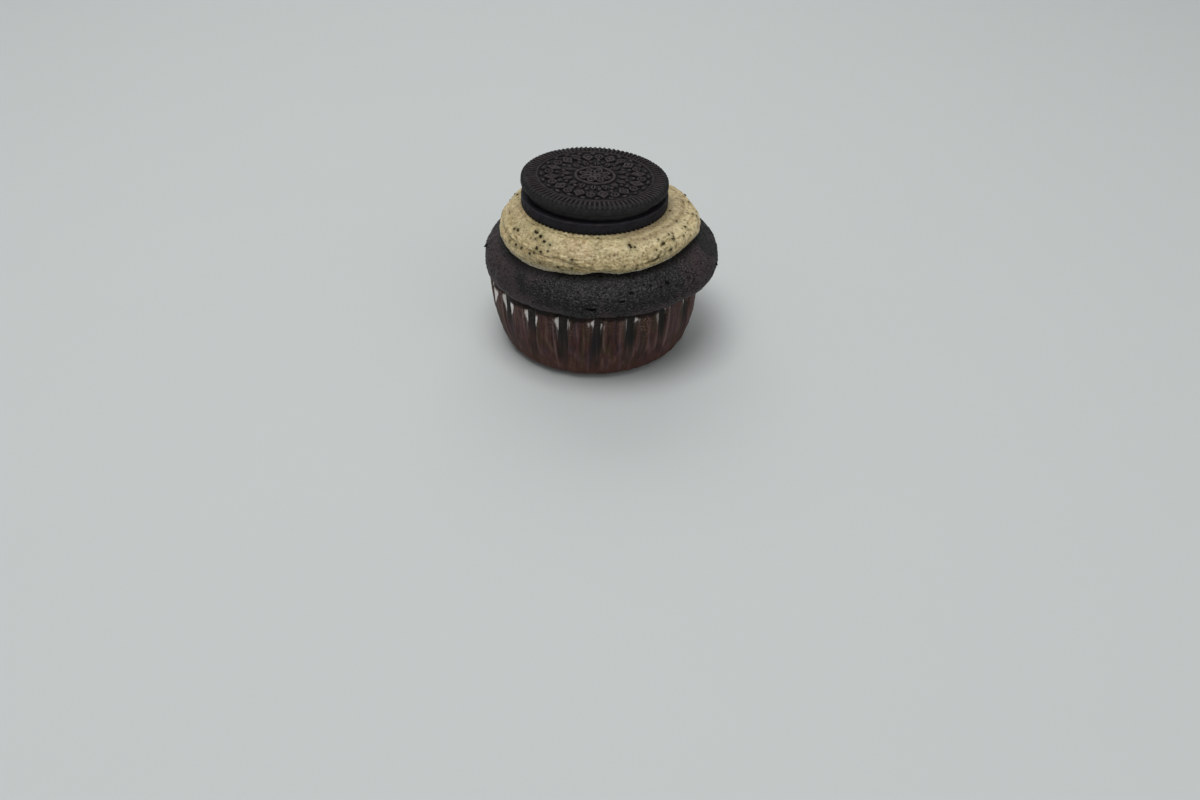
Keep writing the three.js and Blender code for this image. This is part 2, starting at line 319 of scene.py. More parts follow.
def case_columns(left=9, recess=9, right=7, panel=20):
    """Columns that keep one on every fold: for each its flute, its part of the flute and its place on that part.
    On a panel they lie closer together beside the folds."""
    cols = []
    for k in range(PLEATS):
        for kind, n in enumerate((left, recess, right, panel)):
            for i in range(n):
                t = i / n
                cols.append((k, kind, 0.4 * t + 0.6 * (0.5 - 0.5 * math.cos(math.pi * t)) if kind == 3 else t))
    return np.array(cols)


def flecks(own, seed, low, high):
    """Pale patches where a fold opens, for each recess: start and end in mm below the part that the cake's lip hides,
    strength, and width. Rows that aren't given lie somewhere between low and high."""
    table = np.array(low) + (np.array(high) - np.array(low)) * rnd(K[:, None], np.arange(4)[None], np.zeros((PLEATS, 4), int), seed)
    for k, row in own.items():
        table[k] = row
    return table


# on the left and right flank of a recess, with the width as a part of the flank
PALE_LEFT = flecks({17: (1.3, 5.8, 1.0, 0.72), 16: (1.1, 5.3, 1.0, 0.62), 15: (0.3, 6.3, 1.0, 0.70), 0: (1.5, 4.0, 0.95, 0.75),
                    1: (1.8, 6.1, 0.38, 0.45), 2: (2.2, 4.6, 0.15, 0.4), 3: (0.8, 3.0, 0.5, 0.4)},
                   401, (0.6, 3.6, 0.6, 0.5), (1.6, 6.2, 1.0, 0.85))
PALE_RIGHT = flecks({0: (2.8, 5.2, 0.9, 0.5), 1: (2.1, 3.7, 1.0, 0.75), 2: (1.0, 3.0, 1.0, 0.7), 3: (0.9, 3.0, 0.95, 0.7),
                     17: (1.3, 5.0, 0.9, 0.6), 16: (1.2, 5.4, 1.0, 0.8), 15: (0.3, 5.0, 1.0, 0.9), 14: (0.4, 6.0, 1.0, 0.9)},
                    402, (0.6, 2.4, 0.5, 0.4), (1.6, 5.2, 1.0, 0.8))
# on the panels beside the left and right fold of a recess, with the width in degrees
EDGE_LEFT = flecks({0: (1.5, 3.2, 0.7, 1.3), 1: (1.5, 3.0, 0.2, 0.5), 2: (1.6, 6.5, 0.28, 2.2), 3: (0.6, 3.4, 0.8, 1.3),
                    14: (0.8, 2.0, 0.3, 0.4), 15: (0.8, 2.0, 0.3, 0.4), 16: (0.8, 2.0, 0.3, 0.3), 17: (1.2, 2.2, 0.3, 0.3)},
                   403, (0.6, 2.0, 0.3, 0.4), (1.6, 5.0, 0.9, 1.8))
EDGE_RIGHT = flecks({0: (2.8, 4.6, 0.4, 0.4), 1: (2.2, 3.2, 0.5, 0.5), 2: (1.2, 2.4, 0.5, 0.5), 3: (1.0, 2.2, 0.5, 0.5),
                     17: (1.4, 4.4, 0.6, 0.6), 16: (1.3, 5.4, 1.0, 1.6), 15: (0.3, 4.9, 1.0, 4.4), 14: (0.4, 6.2, 1.0, 8.0)},
                    404, (0.6, 2.0, 0.3, 0.4), (1.6, 5.0, 0.9, 2.4))
# strength of the pale line painted down the left and right fold of each recess, a painted highlight where the crease
# catches the light
LINE_LEFT = (0.7, 0.7, 0.5, 0.8, 0.6, 0.5, 0.7, 0.4, 0.6, 0.8, 0.5, 0.7, 0.6, 0.7, 0.8, 1.0, 1.0, 0.9)
LINE_RIGHT = (0.6, 0.4, 0.9, 0.5, 0.6, 0.7, 0.5, 0.6, 0.4, 0.7, 0.6, 0.5, 0.7, 0.6, 0.9, 1.0, 0.8, 0.5)


def make_case():
    cols = case_columns()
    k, kind, t = cols[:, 0].astype(int), cols[:, 1].astype(int), cols[:, 2]
    n = (k + 1) % PLEATS
    nxt = FLUTE[n] + np.where(n == 0, 360.0, 0.0)
    own = 0.9 + 0.1 * np.sin(3.7 * k + 1.0)       # every flute has its own depth
    shut = 2.0 * np.sin(1.3 * K - 1.8)            # and closes at its own height
    shade = 10.0 + 2.5 * np.sin(2.1 * K + 1.0)    # down to where its recess is painted dark: partly darker paper in the fold, partly painted shade
    shade[[15, 16, 17, 0, 1, 2, 3]] = 15.0, 16.0, 13.5, 9.5, 12.5, 14.0, 13.0

    def wall(z, inset=0.0):
        """One row at height z (a number or one for each column)."""
        z0 = np.broadcast_to(np.asarray(z, float), k.shape)
        f, fn = narrow(z0, shut[k]), narrow(z0, shut[n])
        h, hn = HALF[k] * f, HALF[n] * fn
        g, gn = 0.35 + 0.65 * f, 0.35 + 0.65 * fn
        fl, fr = FLANK_LEFT * g, FLANK_RIGHT * g
        here, there = FLUTE[k] + LEAN[k] * drop(z0), nxt + LEAN[n] * drop(z0)
        start = [here - h - fl, here - h, here + h, here + h + fr]
        end = [here - h, here + h, here + h + fr, there - hn - FLANK_LEFT * gn]
        az = np.choose(kind, start) + (np.choose(kind, end) - np.choose(kind, start)) * t
        # flanks bend smoothly into the recess, and keep a sharp outer fold
        w = np.choose(kind, [np.sin(t * np.pi / 2) ** 1.1, np.ones_like(t), np.cos(t * np.pi / 2) ** 1.1, np.zeros_like(t)])
        bulge = np.where(kind == 3, -0.15 * np.sin(np.pi * t) ** 0.8, 0.0)
        bulge = bulge + np.where(kind == 1, 0.10 * np.sin(np.pi * t), 0.0)
        r = case_profile(z0) - pleat_depth(z0) * (w * own + bulge) - inset
        return az, r, z0

    az0 = wall(0.0)[0]
    rows = [at(az0, CASE_BASE_R * q, 0.0) for q in (0.35, 0.7, 0.93, 1.0)]
    first_wall = len(rows)
    for z in [0.16, 0.4, 0.75, 1.2, 1.75, 2.4] + list(np.linspace(3.1, 24.0, 42)):
        az, r, zz = wall(z)
        if z < 2.4:                                # rounded turn into the base
            r = r - (1 - smooth(0, 2.4, z)) * 0.25
        rows.append(at(az, r, zz))
    az, _, _ = wall(24.5)
    top = rim_z(az)
    for f in (0.35, 0.7, 1.0):
        rows.append(at(*wall(24.0 + (top - 24.0) * f)))
    outer = len(rows)
    # thin edge, then the inside
    thin = 0.14
    rows.append(at(*wall(top, thin)))
    for z in (23.5, 20.0, 16.0, 12.0, 8.0, 5.0, 3.0):
        rows.append(at(*wall(z, thin + 0.2)))
    rows.append(at(*wall(1.6, 0.8)))
    rows.append(at(az0, CASE_BASE_R - 0.8, 0.4))
    rows.append(at(az0, CASE_BASE_R * 0.5, 0.4))
    X = np.array(rows)
    R, N = X.shape[:2]

    # crumpling of the thin paper: streaks that run up the wall, and a few cross creases near the rim
    nr = normals_of(X)
    z = X[..., 2]
    ang = np.degrees(np.arctan2(X[..., 0], -X[..., 1]))
    Q = np.stack([X[..., 0], X[..., 1], X[..., 2] * 0.2], -1)
    on = np.zeros((R, 1))
    on[first_wall + 2:outer] = 1.0
    wallmask = on * smooth(0.8, 3.5, z)
    d = 0.24 * perlin(Q, 4.0, 11) + 0.20 * perlin(Q, 1.7, 12) + 0.09 * perlin(Q, 0.9, 13)
    Q2 = np.stack([X[..., 0] * 0.5, X[..., 1] * 0.5, X[..., 2] * 1.3], -1)
    d += (0.10 * perlin(Q2, 1.3, 14)) * smooth(10, 22, z)
    # small crimps round the turn into the base
    d += 0.10 * np.sin(rad(ang) * 54 + 4 * perlin(Q, 6.0, 15)) * smooth(5.5, 1.5, z)
    X = X + nr * (d * wallmask)[..., None]
    X[..., 2] = np.where(on > 0, np.maximum(X[..., 2], 0.05), X[..., 2])

    # marks for the material
    kk = np.broadcast_to(k, (R, N))
    kd = np.broadcast_to(kind, (R, N))
    tt = np.broadcast_to(t, (R, N))
    below = rim_z(ang) - 1.9 - z                  # distance below the part that the cake's lip hides
    gap_l = np.where(kd == 0, tt * FLANK_LEFT, np.where(kd == 3, (1 - tt) * 12.0, 99.0))
    gap_r = np.where(kd == 2, (1 - tt) * FLANK_RIGHT, np.where(kd == 3, tt * 12.0, 99.0))
    # on a panel the fold on its left belongs to its own recess, and the fold on its right to the next one
    nk = np.where(kd == 3, (kk + 1) % PLEATS, kk)
    LL, LR = np.array(LINE_LEFT), np.array(LINE_RIGHT)
    # painted highlight down each fold, where the crease catches the light
    fold = LL[nk] * np.exp(-(gap_l / 0.42) ** 2) + LR[kk] * np.exp(-(gap_r / 0.42) ** 2)
    # painted shadow: the paper is darkened just under the cake's lip, where the overhanging lip shades it
    painted_lip_shadow = (0.25 + 0.55 * smooth(-30, -12, ang) + 1.1 * bell(ang, 30, 18) + 0.4 * bell(ang, -20, 5)
              + 0.5 * perlin(X, 1.6, 16) - 0.8 * smooth(-46, -58, ang))

    def length(row):
        q = np.clip((row[..., 1] - below) / (row[..., 1] - row[..., 0]), 0, 1)
        return q, np.clip((below - row[..., 0]) / 0.5 + 0.5, 0, 1) * (q > 0) * row[..., 2]

    def patch(u, row):
        # pale from the inner fold outwards, running to a point further down, with a fainter pale trail below it
        q, s = length(row)
        far = 0.04 + row[..., 3] * np.minimum(1.3 * q ** 0.85, 1.0)
        s = s * np.clip((u - 0.04) / 0.10 + 0.5, 0, 1) * np.clip((far - u) / 0.12 + 0.5, 0, 1)
        tail = np.clip(1 - (below - row[..., 0]) / (2.0 * (row[..., 1] - row[..., 0])), 0, 1) * (below > row[..., 0])
        return np.maximum(s, 0.20 * row[..., 2] * np.clip((0.38 * tail ** 0.6 - np.abs(u - 0.28)) / 0.3, 0, 1) * (tail > 0))

    left_flank = patch(1 - tt, PALE_LEFT[kk])
    right_flank = patch(tt, PALE_RIGHT[kk])

    def beside(row, gap):
        q, s = length(row)
        w = row[..., 3] * np.minimum(1.2 * q ** 0.9, 1.0)
        return s * np.clip((w - gap) / 0.35, 0, 1)

    fleck = np.where(kd == 0, left_flank, np.where(kd == 2, right_flank, 0.0))
    fleck = np.where(kd == 3, np.maximum(beside(EDGE_RIGHT[kk], gap_r), beside(EDGE_LEFT[nk], gap_l)), fleck)
    recess = np.where(kd == 1, 1.0, np.where(kd == 0, tt, np.where(kd == 2, 1 - tt, 0.0)))
    # how dark each recess is painted: partly the darker paper in the fold, partly painted shade, fading towards the
    # base
    recess = recess * (0.30 * smooth(2.5, 7.0, z) + 0.70 * smooth(-4.0, 4.0, z - shade[kk]))
    near = np.exp(-(np.minimum(gap_l, gap_r) / 2.3) ** 2)
    vals = {
        "fold": fold * on * (0.45 + 0.55 * smooth(20, 8, below)) * smooth(0.5, 4, z),
        "fleck": fleck * on,
        "painted_lip_shadow": smooth(painted_lip_shadow + 0.45, painted_lip_shadow - 0.35, below) * on,
        "recess": recess * on,
        "under": np.maximum(np.clip(1 - below / 8.0, 0, 1) ** 0.7 * (0.22 + 0.78 * near),
                            bell(ang, 27.5, 2.4) * np.clip(1 - below / 14.0, 0, 1)) * on,
        "up": z / 26.0,
    }
    return lathe("paper_case_skin", [0, 0, 0], X, [0, 0, 0.4], vals)


# ---------------------------------------------------------------------- cake
def make_cake():
    N = 1000
    az = np.arange(N) * 360.0 / N - 180.0
    # radius of the fluted wall inside the paper, kept clear of it
    def wall_r(z, inset):
        z = np.broadcast_to(np.asarray(z, float), az.shape)
        w = np.zeros(N)
        for q in range(PLEATS):
            d = np.abs(wrap(az - LEAN[q] * drop(z) - FLUTE[q]))
            w = np.maximum(w, np.clip((HALF[q] + 3.2 - d) / 2.6, 0, 1))
        return case_profile(z) - pleat_depth(z) * w - CASE_WALL - inset

    inner = [at(az, CASE_BASE_R - 2.2, 0.85)]
    for z in (2.4, 5.0, 9.0, 14.0, 19.0, 23.0):
        inner.append(at(az, wall_r(z, GAP + 0.15 + (0.3 if z < 3 else 0)), z))
    rim = rim_z(az)
    lip = lip_z(az)
    inner.append(at(az, wall_r(rim, GAP + 0.1), rim + 0.1))
    control = [at(az, case_profile(25) + 0.35, rim + 0.62)]
    own = 0.22 * np.sin(rad(3 * az + 40)) + 1.1 * bell(az, -140, 38)

    def top(h, dz=0.0, dr=0.0):
        base = 24.3 + h
        z = base + (lip - LIP_Z - 0.1) * (1 - h / 11.6) + dz
        bump = (0.18 * np.sin(rad(5 * az - 70 + 6 * base)) + 0.12 * np.sin(rad(9 * az + 10 * base)))
        return at(az, top_profile(base) + (own + bump) * (1.0 if h < 11 else 0.0) + dr, z, TOP_X, TOP_Y)

    control.append(top(0.0, 0.35, -0.75))
    control.append(top(0.0, 0.0, 0.05))
    control.append(top(1.1, -0.12, 0.15))
    for h in (2.7, 4.4, 6.1, 7.7, 9.1, 10.4):
        control.append(top(h))
    for r in (30.4, 28.6, 26.8):
        control.append(at(az, r, dome(r), TOP_X, TOP_Y))
    rows = spread(control, [3, 3, 5, 8, 8, 8, 8, 7, 7, 7, 8, 6])
    top0 = len(inner)
    end = [at(az, r, dome(r) - 0.1, TOP_X, TOP_Y) for r in (25.0, 20.0, 10.0)]
    X = np.concatenate([np.array(inner), rows, np.array(end)])
    R = len(X)
    show = np.zeros((R, 1))
    show[top0 + 1:R - 3] = 1.0
    show[top0] = 0.3
    nr = normals_of(X)

    ang = np.degrees(np.arctan2(X[..., 0] - TOP_X, -(X[..., 1] - TOP_Y)))
    z = X[..., 2]
    above = z - np.broadcast_to(lip, z.shape)
    # lumps of the crust
    d = 0.34 * fbm(X, 9.0, 2, 21) + 0.22 * fbm(X, 4.2, 2, 22)
    # the pebbly, finely wrinkled skin: strongest over the middle of the front, smoother towards the lip and the left
    rough = 0.52 + 0.48 * smooth(-0.30, 0.30, fbm(X, 9.0, 2, 23) + 0.40 * bell(ang, 12, 30) - 0.30 * bell(ang, -62, 22) - 0.05)
    rough = rough * (0.42 + 0.58 * smooth(0.6, 3.0, above + 1.2 * perlin(X, 4.0, 28)))
    L = X * np.array([1.0, 1.0, 1.9])                       # relief that lies in level streaks
    W = L + 0.40 * np.stack([perlin(L, 1.5, 24), perlin(L, 1.5, 124), perlin(L, 1.5, 224)], -1)
    wr = 0.08 * ridged(W, 1.6, 25) + 0.10 * ridged(W, 0.8, 26) + 0.26 * perlin(W, 0.75, 126) - 0.10
    grain = 0.26 * perlin(L, 0.52, 27)
    d = d + rough * (wr + grain)
    # the lip's lower edge is crumbly
    ragged = smooth(0.9, 0.1, above) * smooth(-0.6, 0.1, above)
    d = d - ragged * (0.30 * smooth(0.0, 0.5, perlin(X, 1.5, 33)) + 0.22 * np.abs(perlin(X, 0.8, 34)) - 0.06)
    # open pores: small ones all over and some larger, ragged holes
    p1, _ = cells(W, 0.95, 31, 0.62, 0.16, 0.36)
    p2, n2 = cells(W + 0.5 * perlin(L, 0.9, 29)[..., None], 2.6, 41, 0.30, 0.08, 0.17)
    hole1 = (1 - smooth(0.35, 1.0, p1)) * (0.30 + 0.70 * rough)
    hole2 = (1 - smooth(0.45, 1.0, p2)) * (0.4 + 0.6 * rough)
    d = d - 0.40 * hole1 - 0.62 * hole2
    pit = np.maximum(0.75 * hole1, hole2)
    # larger holes: azimuth, height, half width, half height, depth
    for a0, z0, wx, wz, dp in ((34.3, 33.5, 0.85, 0.7, 0.95), (30.1, 33.1, 0.5, 0.4, 0.6), (14.0, 33.2, 0.75, 0.45, 0.65),
                               (9.1, 31.5, 0.8, 0.45, 0.7), (-5.4, 29.1, 1.7, 0.5, 0.85), (34.8, 34.6, 0.35, 0.3, 0.5),
                               (21.3, 34.4, 0.5, 0.35, 0.55), (24.4, 33.9, 0.5, 0.3, 0.55), (61.1, 33.4, 0.5, 0.45, 0.5),
                               (48.0, 31.0, 0.45, 0.35, 0.5), (-31.0, 34.2, 0.45, 0.3, 0.45), (-62.0, 31.6, 0.5, 0.3, 0.45),
                               (118.0, 32.6, 0.9, 0.6, 0.8), (163.0, 30.4, 0.8, 0.5, 0.8), (-152.0, 33.1, 0.7, 0.5, 0.7),
                               (-118.0, 30.2, 1.1, 0.45, 0.8), (92.0, 30.1, 0.7, 0.5, 0.6), (-96.0, 33.8, 0.5, 0.4, 0.5)):
        u = rad(wrap(ang - a0)) * 36.0 / wx
        v = (z - z0) / (wz * 0.8)
        q = np.sqrt(u * u + v * v) * (1 + 0.25 * perlin(X, 0.9, 51))
        m = 1 - smooth(0.55, 1.1, q)
        d = d * (1 - 0.8 * m) - 1.3 * dp * m
        pit = np.maximum(pit, m)
    # painted shade: a dark ring on the crust where the frosting lies on it, in place of the contact shadow
    fr = np.hypot(X[..., 0] - ICING_X, X[..., 1]) - 29.6
    faz = np.degrees(np.arctan2(X[..., 0] - ICING_X, -X[..., 1]))
    foot = 1 - smooth(0.2, 2.4, fr - foot_shift(faz))
    X = X + nr * (d * show)[..., None]
    # lighter mauve crust on the left and right and towards the lip: partly the crust's own colour, partly a painted
    # sheen on the sides
    mauve = smooth(-0.10, 0.30, fbm(X, 9.0, 2, 53) + 0.72 * bell(ang, -62, 26) + 0.42 * bell(ang, 52, 15)
                   - 0.30 * bell(ang, 12, 26) + 0.16 * smooth(5.0, 0.5, above) + 0.7 * bell(ang, 30, 13) * smooth(4.2, 2.2, above) - 0.05)
    vals = {"pit": np.clip(pit, 0, 1) * show, "rough": np.broadcast_to(rough, (R, N)) * show,
            "height": np.clip((wr + grain) * (0.35 + 0.65 * rough) * 1.8 + 0.5, 0, 1), "foot": foot * show, "mauve": mauve * show,
            # brink: darker towards the lip's lower edge, partly crumbly crust, partly painted shade under the lip
            "brink": smooth(0.55, -0.25, above + 0.5 * perlin(X, 1.2, 35)) * show}
    return lathe("cake_crust", [0, 0, 0.85], X, [TOP_X, TOP_Y, dome(0) - 0.1], vals)


# ------------------------------------------------------------------ frosting
def icing_surface(az, h):
    """Centre line of the piped skin without its fine relief, at azimuth az and height h above the foot."""
    g = seam_depth(az)
    hs = seam_height(az)
    u = h - hs
    groove = g * (0.95 * np.exp(-(u / seam_width(az)) ** 2) - 0.34 * np.exp(-((u - 1.25) / 0.95) ** 2) - 0.12 * np.exp(-((u + 1.1) / 0.9) ** 2))
    wave = 0.18 * np.sin(rad(4 * az + 50 * h)) * np.minimum(h / 2, 1)
    low = 1 - smooth(0, 4.5, h)
    r = icing_profile(h) - groove + foot_shift(az) * low + wave - 0.9 * bell(az, -99, 15) + 0.35 * bell(az, 88, 14)
    p = at(az, r, 0.0, ICING_X, 0.0)
    foot = ICING_FOOT_Z - 0.55 * foot_shift(az) * low
    tilt = (seat(p) - LOW_CENTRE[2]) * smooth(5, 7.8, h)
    p[..., 2] = np.maximum(foot + h, dome_at(p[..., 0], p[..., 1]) + 0.12) + tilt
    return p


# larger crumbs in the frosting: azimuth, height, size, stretch
PLACED = (
    (-82.6, 44.1, 0.30, 1.2), (-75.6, 45.4, 0.32, 1.1), (-61.7, 43.7, 0.42, 1.2), (-58.7, 44.0, 0.46, 1.1),
    (-53.6, 45.4, 0.42, 1.4), (-45.3, 45.2, 0.62, 1.7), (-40.0, 44.9, 0.50, 1.4), (-35.3, 44.2, 0.40, 1.1),
    (-31.0, 43.8, 0.36, 1.4), (-37.6, 42.6, 0.42, 1.1), (-34.4, 42.2, 0.38, 1.1), (-40.9, 40.9, 0.44, 1.1),
    (-38.4, 41.3, 0.36, 1.2), (-30.1, 42.7, 0.30, 1.1), (-42.1, 44.0, 0.28, 1.2), (-45.2, 43.9, 0.26, 1.1),
    (-22.1, 39.3, 0.40, 1.3), (-14.8, 39.6, 0.42, 1.1), (-20.3, 38.2, 0.34, 1.2), (-34.0, 38.9, 0.30, 1.8),
    (-15.0, 41.8, 0.34, 1.3), (-60.3, 40.7, 0.34, 1.2), (-53.3, 40.8, 0.42, 1.2), (-48.4, 40.9, 0.34, 1.3),
    (-0.5, 44.96, 0.40, 1.7), (19.5, 44.22, 0.64, 1.2), (22.0, 43.8, 0.36, 1.2), (8.8, 43.0, 0.26, 2.0),
    (31.3, 44.4, 0.28, 1.1), (39.5, 43.95, 0.28, 1.2), (41.0, 43.15, 0.52, 1.6), (48.9, 43.1, 0.52, 1.5),
    (50.4, 43.3, 0.34, 1.3), (49.4, 43.95, 0.32, 1.9), (52.9, 43.65, 0.36, 1.2), (66.2, 44.15, 0.44, 1.1),
    (80.0, 44.4, 0.44, 1.1), (65.3, 43.3, 0.40, 1.1), (72.3, 43.6, 0.30, 1.1), (83.7, 42.95, 0.34, 1.2),
    (84.5, 42.2, 0.46, 1.2), (100.2, 43.2, 0.48, 1.2), (96.8, 43.9, 0.32, 1.2), (83.6, 43.5, 0.28, 1.1),
    (57.6, 42.3, 0.38, 1.2), (63.8, 41.1, 0.26, 1.1), (48.4, 41.5, 0.28, 1.1), (43.8, 41.15, 0.42, 1.2),
    (34.3, 42.26, 0.30, 1.5), (34.0, 40.5, 0.60, 1.3), (31.5, 39.7, 0.34, 2.2), (20.4, 38.82, 0.46, 1.2),
    (15.7, 38.0, 0.26, 1.4), (13.4, 40.2, 0.28, 1.2), (91.6, 41.9, 0.28, 1.1), (76.8, 41.0, 0.30, 1.4),
)


def make_frosting():
    N = 960
    az = np.arange(N) * 360.0 / N - 180.0
    low = []
    for r in (12.0, 22.0, 26.4):
        p = at(az, r, 0.0, ICING_X, 0.0)
        p[..., 2] = dome_at(p[..., 0], p[..., 1]) + 0.05
        low.append(p)
    hs = [0.45, 0.9, 1.5, 2.1, 2.7, 3.3, 3.9, 4.5, 5.1, 5.7, 6.3, 6.8, 7.2, 7.55, 7.8]
    foot = at(az, 28.5 + foot_shift(az), 0.0, ICING_X, 0.0)
    foot[..., 2] = dome_at(foot[..., 0], foot[..., 1]) - 0.25
    # dense rows straight from the surface, so that the seam is sharp
    dense = []
    hh = np.concatenate([np.linspace(0.30, 7.2, 62), np.linspace(7.3, 7.8, 5)])
    for h in hh:
        dense.append(icing_surface(az, np.full(N, h)))
    rise = []
    # the cream lies a little lower in front of the cookie and rises against it elsewhere
    for r, dz, less in ((23.6, 0.02, 0.34), (23.1, 0.10, 0.52), (22.75, 0.16, 0.62), (22.35, 0.16, 0.62)):
        p = at(az, r, 0.0, LOW_CENTRE[0], LOW_CENTRE[1])
        p[..., 2] = seat(p) - 0.28 + dz - less * bell(az, 5, 50)
        rise.append(p)
    inside = []
    for r, dz in ((21.9, -0.1), (20.0, -0.25), (10.0, -0.25)):
        p = at(az, r, 0.0, LOW_CENTRE[0], LOW_CENTRE[1])
        p[..., 2] = seat(p) + dz
        inside.append(p)
    # the foot is rounded under
    under = spread([low[-1], foot, 0.5 * (foot + dense[0]) + np.array([0, 0, -0.15]), dense[0]], [2, 3, 3])[1:-1]
    joint = spread([dense[-2], dense[-1], rise[0], rise[1], rise[2], rise[3], inside[0]], [1, 5, 4, 3, 2, 2])[2:-1]
    X = np.concatenate([np.array(low), under, np.array(dense), joint, np.array(inside)])
    R = len(X)
    a0 = len(low) + 2
    show = np.zeros((R, 1))
    show[a0:R - 3] = 1.0
    nr = normals_of(X)
    P = X - np.array([ICING_X, 0, 0])
    r0 = np.hypot(P[..., 0], P[..., 1])
    ang = np.degrees(np.arctan2(P[..., 0], -P[..., 1]))
    h = X[..., 2] - ICING_FOOT_Z
    # flow streaks that run round the ring, following the piping
    S = np.stack([ang * 0.14, (X[..., 2] - 0.012 * ((-ang) % 360)) * 1.0, r0 * 1.0], -1)
    d = 0.20 * perlin(X, 6.0, 61) + 0.12 * perlin(X, 3.0, 62)
    thread = perlin(S + 0.25 * perlin(X, 1.4, 68)[..., None], 0.5, 67)
    curd = perlin(X + 0.3 * perlin(X, 1.6, 69)[..., None], 0.85, 66)
    lively = 0.55 + 0.22 * smooth(15, 50, wrap(ang)) + 0.35 * bell(ang, -8, 24)
    d += 0.17 * perlin(S, 1.5, 63) + 0.12 * perlin(S, 0.75, 64) + lively * (0.11 * thread + 0.13 * curd)
    d += 0.08 * fbm(X, 1.1, 2, 65)
    # a larger crumb lifts the cream round it and stains it
    stain = np.zeros((R, N))
    for a1, z1, size, _ in PLACED:
        q = (rad(wrap(ang - a1)) * 29.0) ** 2 + (X[..., 2] - z1) ** 2
        d += 0.16 * min(size / 0.4, 1.3) * np.exp(-q / (size * 1.3) ** 2)
        if size > 0.33:
            stain = np.maximum(stain, min(size / 0.5, 1.0) * np.exp(-q / (1.2 * size + 0.75) ** 2))
    # air bubbles broken at the surface, and small lumps where a crumb lies just under the skin
    b1, _ = cells(X, 1.3, 71, 0.35, 0.10, 0.26)
    b2, _ = cells(X, 2.6, 81, 0.35, 0.16, 0.34)
    d -= 0.17 * (1 - smooth(0.3, 1.0, b1))
    d += 0.12 * (1 - smooth(0.0, 1.0, b2))
    # a torn crease on the front right, with a smeared crumb beside it
    for a1, z1, a2, z2, wd, dp in ((26.8, 39.5, 33.0, 39.9, 0.30, 0.75), (33.0, 39.9, 37.2, 41.3, 0.32, 0.60),
                                   (39.5, 42.8, 47.0, 43.1, 0.30, 0.50),
                                   (-52.0, 41.6, -63.0, 43.0, 0.35, 0.25), (141.0, 40.0, 150.0, 41.0, 0.3, 0.4)):
        ca, cz = rad(wrap(ang - a1)) * 30.0, X[..., 2] - z1
        ex, ez = math.radians(a2 - a1) * 30.0, z2 - z1
        L = math.hypot(ex, ez)
        t = np.clip((ca * ex + cz * ez) / L**2, 0, 1)
        q = np.hypot(ca - t * ex, cz - t * ez)
        d -= dp * np.exp(-(q / wd) ** 2) - 0.4 * dp * np.exp(-((q - 0.7) / 0.4) ** 2)
    u = h - seam_height(ang)
    g = seam_depth(ang)
    crease = g * np.exp(-(u / 0.5) ** 2)
    X = X + nr * (d * show)[..., None]
    hole = 1 - smooth(0.3, 1.0, b1)
    # painted highlight along the lower edge of the foot, with the thinner, paler cream there
    rim = (1 - smooth(0.45, 1.5, h + 0.55 * foot_shift(ang))) * (0.55 + 0.45 * smooth(5, 60, ang))
    # painted shade makes the cream browner where it bulges in front and beside the cookie, and painted light makes it
    # paler where the piping faces up on the right and on the lower left roll
    zz = X[..., 2]
    tan = (bell(ang, -10, 19) * np.exp(-((zz - 41.9) / 2.1) ** 2) + 0.35 * bell(ang, 4, 16) * smooth(43.9, 44.9, zz)
           + 0.9 * (bell(ang, -84, 16) + bell(ang, 92, 12)) * smooth(43.0, 44.4, zz) + 0.35 * bell(ang, -48, 16))
    pale = (bell(ang, 36, 17) * smooth(42.8, 43.8, zz) + 0.3 * bell(ang, -24, 10) * smooth(43.0, 44.0, zz) + 0.5 * bell(ang, -60, 14) * smooth(40.2, 39.2, zz)
            + 0.40 * bell(ang, 52, 24))
    smear = np.exp(-((rad(wrap(ang - 33.5)) * 30 / 2.0) ** 2 + ((X[..., 2] - 40.6) / 0.7) ** 2))
    vals = {"stain": stain * show, "crease": crease * show, "flow": np.clip(0.5 + 0.8 * perlin(S, 1.5, 63) + 0.6 * perlin(S, 0.75, 64), 0, 1),
            "curd": np.clip(0.5 + 0.75 * (0.5 * thread + 0.5 * curd) * 1.6 * lively, 0, 1), "tan": np.clip(tan, 0, 1) * show, "pale": np.clip(pale, 0, 1) * show,
            "smear": smear * show,
            "edge": rim * show, "hole": hole * show, "halo": np.zeros((R, N))}
    mid = [LOW_CENTRE[0], LOW_CENTRE[1], float(seat(LOW_CENTRE)) - 0.25]
    start = [ICING_X, 0.0, float(dome_at(ICING_X, 0.0)) + 0.05]
    return lathe("frosting_swirl", start, X, mid, vals), X[a0:R - 5], nr[a0:R - 5], a0


# --------------------------------------------------------------- crumb makers
def icosphere(level):
    t = (1 + 5**0.5) / 2
    v = [(-1, t, 0), (1, t, 0), (-1, -t, 0), (1, -t, 0), (0, -1, t), (0, 1, t), (0, -1, -t), (0, 1, -t),
         (t, 0, -1), (t, 0, 1), (-t, 0, -1), (-t, 0, 1)]
    f = [(0, 11, 5), (0, 5, 1), (0, 1, 7), (0, 7, 10), (0, 10, 11), (1, 5, 9), (5, 11, 4), (11, 10, 2), (10, 7, 6),
         (7, 1, 8), (3, 9, 4), (3, 4, 2), (3, 2, 6), (3, 6, 8), (3, 8, 9), (4, 9, 5), (2, 4, 11), (6, 2, 10),
         (8, 6, 7), (9, 8, 1)]
    v = [np.array(p) / np.linalg.norm(p) for p in v]
    for _ in range(level):
        mid, nf = {}, []
        for a, b, c in f:
            m = []
            for i, j in ((a, b), (b, c), (c, a)):
                key = (min(i, j), max(i, j))
                if key not in mid:
                    p = v[i] + v[j]
                    v.append(p / np.linalg.norm(p))
                    mid[key] = len(v) - 1
                m.append(mid[key])
            nf += [(a, m[0], m[2]), (b, m[1], m[0]), (c, m[2], m[1]), tuple(m)]
        f = nf
    return np.array(v), np.array(f)


